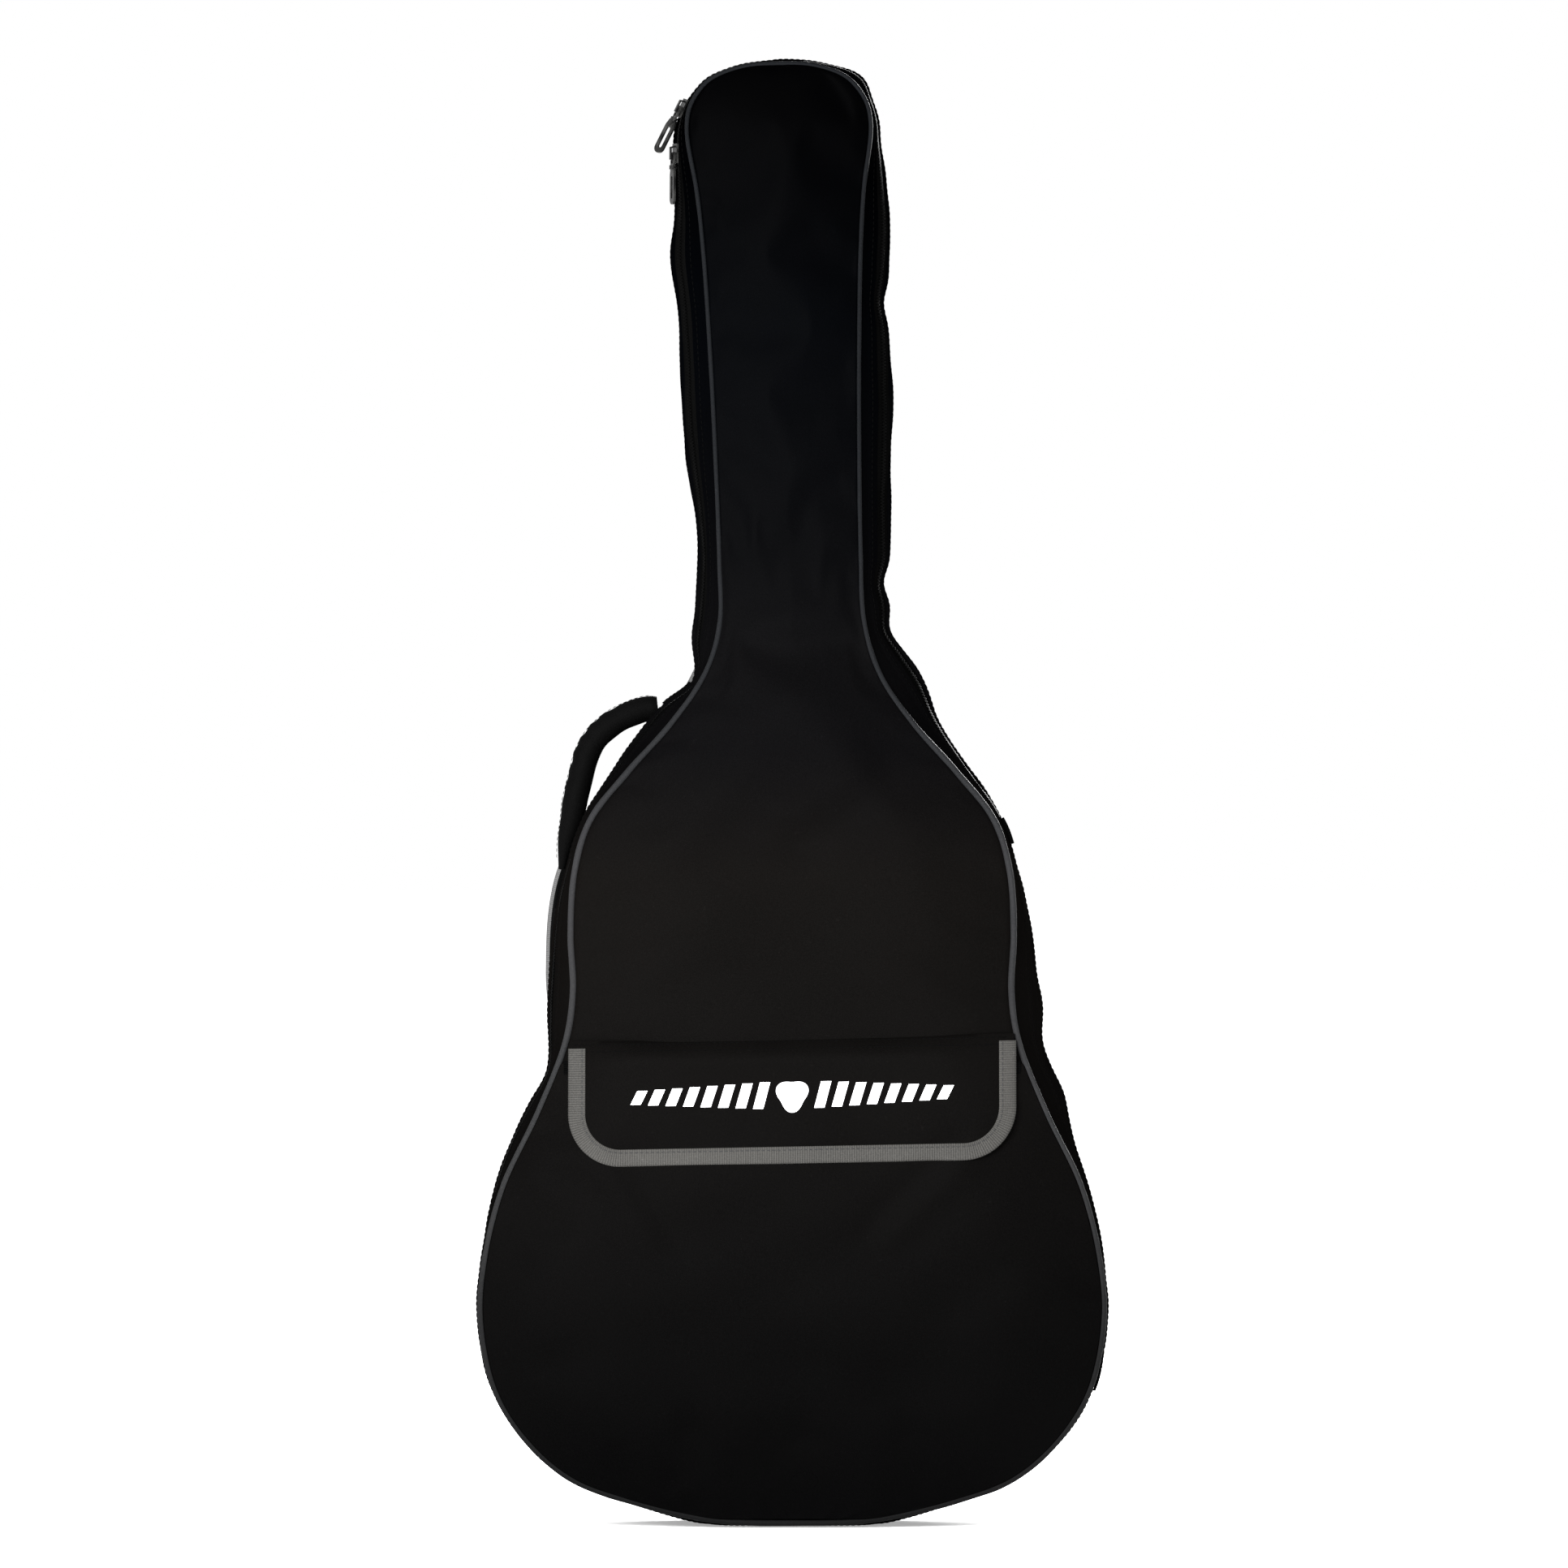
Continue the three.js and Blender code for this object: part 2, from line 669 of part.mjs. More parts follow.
// A flat strap along points: a box section whose width runs across the bag, or through its depth.
function flatStrap(points, widthAt, thickness, throughDepth = false) {
  const curve = new THREE.CatmullRomCurve3(points, false, "centripetal");
  const steps = (points.length - 1) * 2;
  return loft(
    spread(0, 1, steps).map((share) => {
      const centre = curve.getPoint(share);
      const along = curve.getTangent(share);
      const sideways = DEPTHWISE.clone().cross(along).normalize();
      const across = throughDepth ? DEPTHWISE : sideways;
      const up = new THREE.Vector3().crossVectors(along, across).normalize();
      const corner = (side, face) =>
        centre
          .clone()
          .addScaledVector(across, (side * widthAt(share)) / 2)
          .addScaledVector(up, (face * thickness) / 2);
      return [corner(-1, 1), corner(1, 1), corner(1, -1), corner(-1, -1)];
    }),
    false,
  );
}

const vectors = (points) => points.map((p) => new THREE.Vector3(...p));

const handlePoints = vectors(HANDLE_PATH.map(([x, z]) => [x, HANDLE.y, z]));

// The grip is the padded middle of the handle. It thins towards its lower end, which lies on the bag.
function handleGrip() {
  const { radius, end, foot } = HANDLE;
  const radiusAt = (share) => {
    const upper = THREE.MathUtils.lerp(end, radius, Math.min(1, share * 7));
    const lower = THREE.MathUtils.lerp(foot, radius, Math.min(1, (1 - share) * 2.6));
    return Math.min(upper, lower);
  };
  return tube(handlePoints.slice(1, -1), radiusAt, 8);
}

// A length of webbing from where the handle is stitched down to the grip's end.
function handleEnd(stitched, gripEnd) {
  const reach = gripEnd.clone().lerp(stitched, (2 * GAP) / gripEnd.distanceTo(stitched));
  return flatStrap([stitched, reach], () => HANDLE.webbing, HANDLE.webbingThick, true);
}

// A stitched patch of webbing on the gusset next to one end of the handle.
function handleTab(from, to) {
  const places = [from, to].map((index) => stationAt(STATIONS - index));
  const ys = (station) => bandDepths(station, HANDLE.y - TAB.reach, HANDLE.y + TAB.reach);
  return band(ys, -TAB.lift - TAB.thick, -TAB.lift, places);
}

function ladderLock(centre, direction) {
  const frame = plate(
    new THREE.Shape([[-17, -14], [17, -14], [17, 14], [-17, 14]].map((p) => new THREE.Vector2(...p))),
    5,
  );
  const windows = [-8, 4.5].map((y) => block(27, 5, 8, [0, y, 0]));
  const buckle = cut(frame, ...windows).rotateX(Math.PI / 2);
  const turn = new THREE.Quaternion().setFromUnitVectors(new THREE.Vector3(0, 0, 1), direction);
  return buckle.applyQuaternion(turn).translate(centre.x, centre.y, centre.z);
}

// ---------------------------------------------------------------- materials and assembly

const cloth = (color) => new THREE.MeshStandardMaterial({ color, roughness: 0.85, metalness: 0 });
const MATERIALS = {
  shell: cloth(0x0d0d0f),
  trim: cloth(0x4a4d50),
  lining: cloth(0x2a2a2c),
  foam: cloth(0x8a8a86),
  webbing: cloth(0x111113),
  tape: cloth(0x0e0e0f),
  hook: cloth(0x151515),
  nylon: new THREE.MeshStandardMaterial({ color: 0x0c0c0d, roughness: 0.45, metalness: 0 }),
  metal: new THREE.MeshStandardMaterial({ color: 0x18181a, roughness: 0.35, metalness: 0.9 }),
};

const bag = new THREE.Group();
const put = (name, material, geometry) => bag.add(meshOf(name, MATERIALS[material], geometry));

function addShells() {
  const { fabric, padding, lining } = LAYERS;
  put("back_panel", "shell", panelLayer(backFace, -1, fabric));
  put("back_padding", "foam", panelLayer(backFace, -1, padding));
  put("back_lining", "lining", panelLayer(backFace, -1, lining));
  put("front_panel", "shell", panelLayer(frontFace, 1, fabric));
  put("front_padding", "foam", panelLayer(frontFace, 1, padding));
  put("front_lining", "lining", panelLayer(frontFace, 1, lining));
  put("back_piping", "shell", piping(backY));
  put("front_piping", "trim", piping(frontY));
  const layers = [
    ["gusset", "shell", fabric, PANEL_EDGE],
    ["gusset_padding", "foam", padding, INSIDE_PANEL],
    ["gusset_lining", "lining", lining, INSIDE_PANEL],
  ];
  for (const [name, material, { from, to }, end] of layers) {
    put("base_" + name, material, band(baseDepths(end), from, to));
    put("lid_" + name, material, band(lidDepths(end), from, to));
  }
  put("hinge_gusset", "shell", band(acrossZip, 0, FABRIC, hingeStations));
}

function addZip() {
  for (const [name, side] of [["lid", -1], ["base", 1]]) {
    put("zip_tape_" + name, "tape", zipBand(TAPE, side));
    put("zip_coil_" + name, "nylon", zipBand(COIL, side));
  }
  put("zip_end_upper", "webbing", zipEndPatch(ZIP_ENDS.upper, -1));
  put("zip_end_lower", "webbing", zipEndPatch(ZIP_ENDS.lower, 1));
  const straight = new THREE.Vector2(NECK_TOP[0] - NECK_FOOT[0], NECK_TOP[1] - NECK_FOOT[1]);
  const below = straight.setLength(SLIDER_LOWER_BELOW_CORNER);
  const neckTilt = THREE.MathUtils.radToDeg(Math.atan2(below.x, below.y));
  const seats = {
    lower: zipSeat([NECK_TOP[0] - below.x, NECK_TOP[1] - below.y], -neckTilt),
    upper: zipSeat(aroundCorner(SLIDER_UPPER_DEGREES), SLIDER_UPPER_DEGREES),
  };
  for (const [name, seat] of Object.entries(seats)) {
    const pull = meshOf("pull_" + name, MATERIALS.metal, pullGeometry(PULL_TURNS[name]));
    pull.position.x = PULL.axisHeight;
    seat.add(meshOf("slider_" + name, MATERIALS.metal, sliderGeometry()), pull);
    bag.add(seat);
  }
}

function addPocket() {
  const outline = panelRows(PANEL_EDGE);
  const rowAt = (z) => {
    const above = outline.findIndex((row) => row.z > z);
    const [a, b] = [outline[above - 1], outline[above]];
    return { x: THREE.MathUtils.mapLinear(z, a.z, b.z, a.x, b.x), z };
  };
  const hemZ = POCKET.top - POCKET.hem;
  const rows = [...outline.filter((row) => row.z < hemZ - 5), rowAt(hemZ), rowAt(POCKET.top)];
  const under = (x, z) => pocketFace(x, z) + FABRIC;
  put("pocket_panel", "shell", sheet(rows, pocketFace, under));
  const hemFace = (lift) => (x, z) => pocketFace(x, z) - lift;
  put("pocket_hem", "webbing", sheet(rows.slice(-2), hemFace(GAP + 0.8), hemFace(GAP)));
  put("pocket_flap", "shell", flapSheet(1.2, FLAP.bottom + 1.2));
  put("flap_binding", "trim", flapBinding());
  for (const [side, x] of [["left", -75], ["right", 75]]) {
    const onPocket = patch(x, 296, 60, 20, pocketFace, [-1.2, -GAP]);
    put("pocket_loop_" + side, "hook", onPocket);
    put("flap_hook_" + side, "hook", patch(x, 296, 60, 20, flapFace, [GAP, 0.9]));
  }
}

function addHandle() {
  const [first, second] = handlePoints;
  const [beforeLast, last] = handlePoints.slice(-2);
  put("handle_grip", "webbing", handleGrip());
  put("handle_end_upper", "webbing", handleEnd(first, second));
  put("handle_end_lower", "webbing", handleEnd(last, beforeLast));
  put("handle_tab_upper", "webbing", handleTab(16.2, 16.7));
  put("handle_tab_lower", "webbing", handleTab(12.4, 12.9));
}

function addStraps() {
  for (const [side, path] of Object.entries(STRAP_PATHS)) {
    const sign = Math.sign(path[0][0]);
    const pad = vectors(path);
    const end = pad.at(-1);
    const taper = (share) => STRAP.width * (1 - 0.28 * share ** 3);
    put("strap_pad_" + side, "shell", flatStrap(pad, taper, STRAP.thick));
    const foot = new THREE.Vector3(sign * STRAP_FOOT.x, STRAP_FOOT.y, STRAP_FOOT.z);
    const down = end.clone().sub(pad.at(-2)).normalize();
    const buckle = end.clone().addScaledVector(down, 16);
    put("strap_buckle_" + side, "nylon", ladderLock(buckle, down.clone().negate()));
    const start = buckle.clone().addScaledVector(down, 17);
    const middle = start.clone().lerp(foot, 0.5).add(new THREE.Vector3(sign * 6, 3, 0));
    const webbing = flatStrap([start, middle, foot], () => STRAP.webbing, STRAP.webbingThick);
    put("strap_webbing_" + side, "webbing", webbing);
    const low = backAnchor(sign * STRAP_FOOT.x, STRAP_FOOT.z - 14, 34, 26);
    put("strap_anchor_lower_" + side, "webbing", low);
    const high = backAnchor(sign * 30, pad[0].z + 16, 42, 24);
    put("strap_anchor_upper_" + side, "webbing", high);
  }
}

// A stitched patch of webbing on the back panel.
function backAnchor(x, z, width, height) {
  return patch(x, z, width, height, backFace, [ANCHOR.lift, ANCHOR.lift + ANCHOR.thick]);
}

addShells();
addZip();
addPocket();
addHandle();
addStraps();

export default bag;
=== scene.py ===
"""The look of a padded gig bag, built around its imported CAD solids.

The outline, the two panels and the gusset are worked out here in millimetres from the same ribs as the
solids, but finely, and each mesh is scaled to metres when it is made. Soft bulges, dents and creases are
added to them, so that the cloth isn't as even as the solids.
"""

import json
import math

import bpy
import numpy as np
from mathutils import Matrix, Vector
from mathutils.kdtree import KDTree

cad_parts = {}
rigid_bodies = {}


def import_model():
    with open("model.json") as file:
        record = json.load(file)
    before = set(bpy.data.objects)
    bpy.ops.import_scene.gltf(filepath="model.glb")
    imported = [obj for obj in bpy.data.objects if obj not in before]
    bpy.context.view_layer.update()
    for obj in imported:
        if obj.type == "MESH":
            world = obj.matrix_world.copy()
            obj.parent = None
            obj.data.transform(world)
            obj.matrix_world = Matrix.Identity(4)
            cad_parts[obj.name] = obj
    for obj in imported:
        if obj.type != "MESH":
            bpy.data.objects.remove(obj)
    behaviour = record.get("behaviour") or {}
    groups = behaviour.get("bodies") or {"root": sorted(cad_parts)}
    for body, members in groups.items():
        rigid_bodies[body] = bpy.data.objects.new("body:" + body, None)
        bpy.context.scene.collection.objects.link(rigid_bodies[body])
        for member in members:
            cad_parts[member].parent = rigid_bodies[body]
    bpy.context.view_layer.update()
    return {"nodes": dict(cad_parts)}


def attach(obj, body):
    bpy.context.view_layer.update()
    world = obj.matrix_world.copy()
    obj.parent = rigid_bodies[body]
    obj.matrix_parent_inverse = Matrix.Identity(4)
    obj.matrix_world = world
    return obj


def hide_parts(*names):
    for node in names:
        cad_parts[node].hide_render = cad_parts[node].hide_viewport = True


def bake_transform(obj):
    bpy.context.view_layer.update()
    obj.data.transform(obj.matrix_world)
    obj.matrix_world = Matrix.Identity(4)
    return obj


for leftover in list(bpy.data.objects):
    bpy.data.objects.remove(leftover)

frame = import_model()

MM = 0.001

# ---------------- dimensions, in millimetres

NECK_FOOT = (67.4, 700)
NECK_TOP = (73.4, 1001)
CORNER_RADIUS = 60
# The zip line from the middle of the bottom to the middle of the top: half width, height and bulge.
LOWER_RIBS = [
    (0, -1.5, 5),
    (58, 0.4, 5.4),
    (119, 16.6, 3),
    (161, 32.6, 3),
    (193, 60, 3),
    (216.5, 97, 3),
    (227.3, 150, 3),
    (224.2, 194.5, 3),
    (212.8, 247.6, 5),
    (191.8, 303.2, 9.7),
    (176.4, 355, 14),
    (174, 387.4, 16),
    (171.4, 429, 11.8),
    (162, 476, 5.6),
    (150, 512.4, 5),
    (124.8, 550, 8.2),
    (96.4, 589, 13),
    (76, 622, 14.5),
    (68, 654, 16),
    (*NECK_FOOT, 16.4),
]
NECK_BULGES = [(0.25, 17), (0.5, 16.6), (0.74, 15), (0.88, 12.4), (1, 7.6)]
CORNER_BULGES = [(12, 5.8), (26, 3.5), (40, 2.6), (53, 2.6)]
TOP_RIBS = [(27, 1057.1, 2.6), (0, 1059.2, 2.6)]

NECK_LEAN = math.radians(1.5)
LEAN_FROM, LEAN_FULL, LEAN_PIVOT = 600, 690, 640
FRONT_Y = (-54, -40)  # of the front piping, at the body and at the neck
BACK_Y = (58, 42)
DEPTH_CHANGE = (540, 700)
ZIP_Y = -18
CROWN_FRONT, CROWN_BACK, CROWN_REACH = 9, 6, 60

PIPING_RADIUS = (2.35, 1.6)  # at the body and at the neck
FABRIC = 1.2
PADDED = 6.6  # cloth and foam together
LINING = 0.6
SEAM_FROM_ZIP = 7.5
HINGE_FROM, HINGE_TO = 5, 14  # the stations on the right between which there is no zip

POCKET_TOP = 336
POCKET_BULGE = 8
POCKET_STAND = 1.6
FLAP_HALF, FLAP_TOP, FLAP_BOTTOM, FLAP_CORNER = 161, 353.5, 263.5, 38
FLAP_THICK = 1.6
FLAP_SLANT = 0.019  # the flap hangs a little lower on the left
BINDING = 12
MOTIF_HEIGHT, MOTIF_BARS = 312.5, 8
HOOK_X, HOOK_Z, HOOK_SIZE = 75, 296, (60, 20)  # the hook-and-loop patches under the flap

# Places where the soft gusset stands out or pulls in: side, height, how far, and reach along the edge.
LUMPS = [
    (-1, 918, 2.4, 24),
    (-1, 712, -5.2, 46),
    (-1, 615, -10, 18),
    (-1, 330, -6.5, 24),
    (1, 1042, 4, 10),
    (1, 1000, -2.2, 18),
    (1, 935, 1.6, 28),
    (1, 883, -2.6, 13),
    (1, 810, 1.8, 42),
    (1, 680, -3.8, 12),
    (1, 647, -3, 12),
    (1, 610, 7, 25),
    (1, 372, 3.5, 20),
    (1, 310, 4.5, 24),
]
# Creases of the front panel: both ends, height of the wave, and its width.
CREASES = [
    ((-20, 645), (30, 648), 3.2, 13),
    ((-44, 517), (5, 503), 2.4, 16),
    ((5, 503), (40, 526), 2.4, 16),
    ((-96, 505), (-26, 590), -3.4, 26),
    ((98, 515), (28, 600), 3.4, 26),
    ((-60, 420), (50, 400), 1.4, 30),
    ((20, 760), (-14, 700), -1.6, 14),
]
POCKET_CREASES = [
    ((112, 262), (70, 222), 3.2, 13),
    ((-122, 256), (-98, 215), -2.2, 13),
    ((-60, 150), (60, 120), 1.4, 34),
    ((150, 215), (60, 120), -1.8, 30),
]

HANDLE_Y = 20
HANDLE_RADIUS = 9.9
HANDLE_PATH = [
    (-97.5, 592),
    (-109, 590.6),
    (-123.6, 584.9),
    (-134.4, 578),
    (-143.2, 569.2),
    (-149.4, 557.8),
    (-153.6, 542.5),
    (-157.6, 526.4),
    (-161.2, 509),
    (-165.2, 492),
    (-167.5, 474),
]
STRAP_PATHS = {
    "left": [
        *((-36, 62.5, 622), (-59, 72, 580), (-100, 82, 530)),
        *((-143, 90, 468), (-154, 94, 400), (-151, 90, 345)),
    ],
    "right": [
        *((38, 62.5, 622), (62, 72, 580), (99, 82, 530)),
        *((131, 90, 468), (143, 94, 400), (144, 90, 345)),
    ],
}
STRAP_WIDTH, STRAP_THICK = 58, 9
STRAP_FOOT = (128, 69.6, 138)
STRAP_SEAM = 0.62  # where a strap's sewn channel runs, as a share of its half width
WEB_HALF = 12.5

ROW_SPACING = 6  # of the panels' rows
PANEL_COLUMNS = 64
EDGE_SPACING = 4  # of the stations round the edge

# ---------------- the outline


def half_outline():
    (foot_x, foot_z), (top_x, top_z) = NECK_FOOT, NECK_TOP
    points = list(LOWER_RIBS)
    for share, bulge in NECK_BULGES:
        points.append((foot_x + share * (top_x - foot_x), foot_z + share * (top_z - foot_z), bulge))
    for degrees, bulge in CORNER_BULGES:
        a = math.radians(degrees)
        points.append((top_x - CORNER_RADIUS * (1 - math.cos(a)), top_z + CORNER_RADIUS * math.sin(a), bulge))
    return points + TOP_RIBS


RIGHT_HALF = half_outline()
LOOP = np.array(RIGHT_HALF + [(-x, z, b) for x, z, b in RIGHT_HALF[-2:0:-1]], float)
STATIONS = len(LOOP)
TOP_STATION = len(RIGHT_HALF) - 1


def hermite(w, p1, p2, t1, t2):
    """The cubic curve from p1 to p2 with those tangents, at shares w."""
    return p1 + w * (t1 + w * (-3 * p1 + 3 * p2 - 2 * t1 - t2 + w * (2 * p1 - 2 * p2 + t1 + t2)))


def unit(vectors):
    return vectors / np.linalg.norm(vectors, axis=-1)[..., None]


def run_of(points):
    """The distance along a path at each of its points."""
    return np.r_[0, np.cumsum(np.linalg.norm(np.diff(points, axis=0), axis=1))]


def sampled(points, run, at):
    """Points of a path at distances along it."""
    return np.stack([np.interp(at, run, points[:, k]) for k in range(points.shape[1])], 1)


def loop_point(t):
    """x, z and bulge of the zip line at station numbers t: a closed centripetal Catmull-Rom curve."""
    t = np.mod(np.asarray(t, float), STATIONS)
    k = np.floor(t).astype(int)
    w = (t - k)[..., None]
    p0, p1, p2, p3 = (LOOP[(k + i) % STATIONS] for i in (-1, 0, 1, 2))
    d0, d1, d2 = (
        np.sqrt(np.linalg.norm(b - a, axis=-1))[..., None] for a, b in ((p0, p1), (p1, p2), (p2, p3))
    )
    t1 = ((p1 - p0) / d0 - (p2 - p0) / (d0 + d1) + (p2 - p1) / d1) * d1
    t2 = ((p2 - p1) / d1 - (p3 - p1) / (d1 + d2) + (p3 - p2) / d2) * d1
    return hermite(w, p1, p2, t1, t2)


class Places:
    """Places on the zip line: x, z, bulge, the outward normal, and the run along the line."""

    def __init__(self, t):
        self.t = np.asarray(t, float)
        self.x, self.z, self.bulge = loop_point(self.t).T
        d = loop_point(self.t + 0.01) - loop_point(self.t - 0.01)
        size = np.hypot(d[:, 0], d[:, 1])
        self.nx, self.nz = d[:, 1] / size, -d[:, 0] / size
        self.run = run_of(np.stack([self.x, self.z], 1))


def evenly(start, end, spacing):
    """Station numbers from start to end, an even distance apart."""
    dense = np.linspace(start, end, 4000)
    run = run_of(loop_point(dense)[:, :2])
    count = max(2, round(run[-1] / spacing))
    return np.interp(np.linspace(0, run[-1], count + 1), run, dense)


def smoothstep(value, start, end):
    share = np.clip((value - start) / (end - start), 0, 1)
    return share * share * (3 - 2 * share)


def depth_at(pair, z):
    return pair[0] + (pair[1] - pair[0]) * smoothstep(z, *DEPTH_CHANGE)


def lean(points):
    """The points with everything above the shoulder turned with the leaning neck."""
    points = np.array(points, float)
    angle = NECK_LEAN * smoothstep(points[..., 2], LEAN_FROM, LEAN_FULL)
    up = points[..., 2] - LEAN_PIVOT
    x = points[..., 0].copy()
    points[..., 0] = x * np.cos(angle) - up * np.sin(angle)
    points[..., 2] = LEAN_PIVOT + x * np.sin(angle) + up * np.cos(angle)
    return points


def uneven(u, v, wavelength, seed):
    """Smooth unevenness from about -1 to 1: a few crossing waves, the same at each run."""
    rng = np.random.default_rng(seed)
    total = 0
    for _ in range(8):
        angle, phase = rng.uniform(0, math.pi), rng.uniform(0, 2 * math.pi)
        size = wavelength * rng.uniform(0.6, 1.7)
        total = total + np.sin(2 * math.pi * (u * math.cos(angle) + v * math.sin(angle)) / size + phase)
    return total / 4


def on_floor(z):
    """Heights that may not go below the floor, rounded off where they reach it."""
    return (z + np.sqrt(z * z + 1)) / 2


def skin(places, y, inward=0.0):
    """Points of the gusset at depths y, one row of depths for each place, moved in by some distance."""
    front, back = depth_at(FRONT_Y, places.z)[:, None], depth_at(BACK_Y, places.z)[:, None]
    wave = np.sin(math.pi * np.clip((y - front) / (back - front), 0, 1))
    swell = wave / np.sin(math.pi * (ZIP_Y - front) / (back - front))
    lump = 0
    for side, z, height, reach in LUMPS:
        near = (np.sign(places.x) == side) * np.exp(-(((places.z - z) / reach) ** 2))
        lump = lump + height * near
    soft = 0.7 * uneven(places.run[:, None], y, 75, 3) + 0.22 * uneven(places.run[:, None], y * 0.4, 30, 5)
    soft = soft * smoothstep(places.z, 20, 80)[:, None]
    out = places.bulge[:, None] * (swell - 1) + lump[:, None] * swell + soft * wave - inward
    x = places.x[:, None] + places.nx[:, None] * out
    z = on_floor(places.z[:, None] + places.nz[:, None] * out)
    return lean(np.stack([x, np.broadcast_to(y, x.shape), z], -1))


def edge(places, inset):
    """The piping line moved in by inset: x and z."""
    back = places.bulge + inset
    return places.x - places.nx * back, places.z - places.nz * back


ALL_ROUND = Places(evenly(0, STATIONS, EDGE_SPACING)[:-1])


def edge_tree():
    line = Places(evenly(0, STATIONS, 1))
    tree = KDTree(len(line.x))
    for index, (x, z) in enumerate(zip(*edge(line, 0))):
        tree.insert((x, z, 0), index)
    tree.balance()
    return tree


EDGE_TREE = edge_tree()


def fullness(x, z):
    """0 at the piping and 1 from CROWN_REACH inwards."""
    points = np.stack([x, z], -1).reshape(-1, 2)
    distance = np.array([EDGE_TREE.find((px, pz, 0))[2] for px, pz in points]).reshape(x.shape)
    share = np.minimum(1, distance / CROWN_REACH)
    return share * (2 - share)


def creased(x, z, creases):
    """How far creases push the cloth out: up on one side of each line and down on the other."""
    total = np.zeros_like(x)
    for (x0, z0), (x1, z1), height, width in creases:
        length = math.hypot(x1 - x0, z1 - z0)
        ux, uz = (x1 - x0) / length, (z1 - z0) / length
        along = (x - x0) * ux + (z - z0) * uz
        beyond = np.maximum(0, np.maximum(-along, along - length))
        across = ((z - z0) * ux - (x - x0) * uz) / width
        total += height * 1.6 * across * np.exp(-(across**2) - (beyond / (1.5 * width)) ** 2)
    return total


def front_face(x, z, f=None):
    """Depth of the front panel's face at x and z."""
    f = fullness(x, z) if f is None else f
    soft = creased(x, z, CREASES) + 1.1 * uneven(x, z, 110, 11)
    return depth_at(FRONT_Y, z) - 0.6 - CROWN_FRONT * f - soft * f


def back_face(x, z, f=None):
    f = fullness(x, z) if f is None else f
    return depth_at(BACK_Y, z) + 0.6 + CROWN_BACK * f + 0.8 * f * uneven(x, z, 120, 17)


def pocket_face(x, z):
    f = fullness(x, z)
    plain = depth_at(FRONT_Y, z) - 0.6 - CROWN_FRONT * f
    soft = creased(x, z, POCKET_CREASES) + 1.0 * uneven(x, z, 90, 23)
    return plain - POCKET_STAND - 1.2 * f - POCKET_BULGE * f * f - soft * f


def flap_face(x, z):
    """Depth of the flap's rear face: it runs from the panel at its top edge out over the pocket's hem."""
    share = np.clip((FLAP_TOP - z) / (FLAP_TOP - POCKET_TOP), 0, 1)
    near, far = front_face(x, z) - 1.1, pocket_face(x, z) - 2.9
    return near + (far - near) * share * (2 - share)


# ---------------- meshes


def loft(sections, closed=False, planar=False):
    """Points, quads and corner UVs of a solid through a row of sections, each a loop of points.

    A section of a sheet is a row on one face and the same row on the other face, backwards.
    """
    sections = np.asarray(sections, float)
    n, m = sections.shape[:2]
    i, j = np.meshgrid(np.arange(n if closed else n - 1), np.arange(m), indexing="ij")
    corners = [(i, j), (i, j + 1), (i + 1, j + 1), (i + 1, j)]
    quads = np.stack([(a % n) * m + b % m for a, b in corners], -1).reshape(-1, 4)
    steps = np.linalg.norm(np.roll(sections, -1, 0) - sections, axis=2).mean(1)
    turns = np.linalg.norm(np.roll(sections, -1, 1) - sections, axis=2).mean(0)
    along, around = np.r_[0, np.cumsum(steps)], np.r_[0, np.cumsum(turns)]
    uvs = np.stack([np.stack([around[b], along[a]], -1) for a, b in corners], 2).reshape(-1, 4, 2)
    points = sections.reshape(-1, 3)
    if not closed:
        pairs = np.arange(m // 2 - 1)
        cap = np.stack([pairs, m - 1 - pairs, m - 2 - pairs, pairs + 1], -1)
        quads = np.concatenate([quads, cap, cap[:, ::-1] + (n - 1) * m])
        uvs = np.concatenate([uvs, np.zeros((2 * len(pairs), 4, 2))])
        uvs[-2 * len(pairs) :] = points[quads[-2 * len(pairs) :]][..., [0, 2]]
    if planar:
        uvs = points[quads][..., [0, 2]]
    a, b, c = (points[quads[:, k]] for k in (0, 1, 2))
    if np.einsum("ij,ij->", a, np.cross(b, c)) < 0:
        quads, uvs = quads[:, ::-1], uvs[:, ::-1]
    return points, quads, uvs


def sheet_solid(outer, inner, planar=False, closed=False):
    return loft(np.concatenate([outer, inner[:, ::-1]], 1), closed=closed, planar=planar)


def gusset_sheet(places, y, outer, inner, closed=False):
    """A sheet along the gusset, between two distances in from its skin."""
    return sheet_solid(skin(places, y, outer), skin(places, y, inner), closed=closed)


def beads(centres, along, out, length, width, height, taper=0.35):
    """Small lozenges, such as stitches and zip teeth, one at each centre, along and out as given."""
    centres, along, out = (np.asarray(v, float) for v in (centres, along, out))
    along = unit(along)
    across = unit(np.cross(along, out))
    out = np.cross(across, along)
    rings = []
    for place, size in ((-1, taper), (0, 1), (1, taper)):
        for a, b in ((-1, -1), (1, -1), (1, 1), (-1, 1)):
            rings.append(
                centres
                + along * place * length / 2
                + across * a * size * width / 2
                + out * b * size * height / 2
            )
    points = np.stack(rings, 1).reshape(-1, 3)
    faces = [[0, 3, 2, 1], [8, 9, 10, 11]]
    for ring in (0, 4):
        faces += [[ring + k, ring + (k + 1) % 4, ring + 4 + (k + 1) % 4, ring + 4 + k] for k in range(4)]
    faces = np.array(faces)
    quads = (faces[None] + 12 * np.arange(len(centres))[:, None, None]).reshape(-1, 4)
    return points, quads, np.zeros((len(quads), 4, 2))


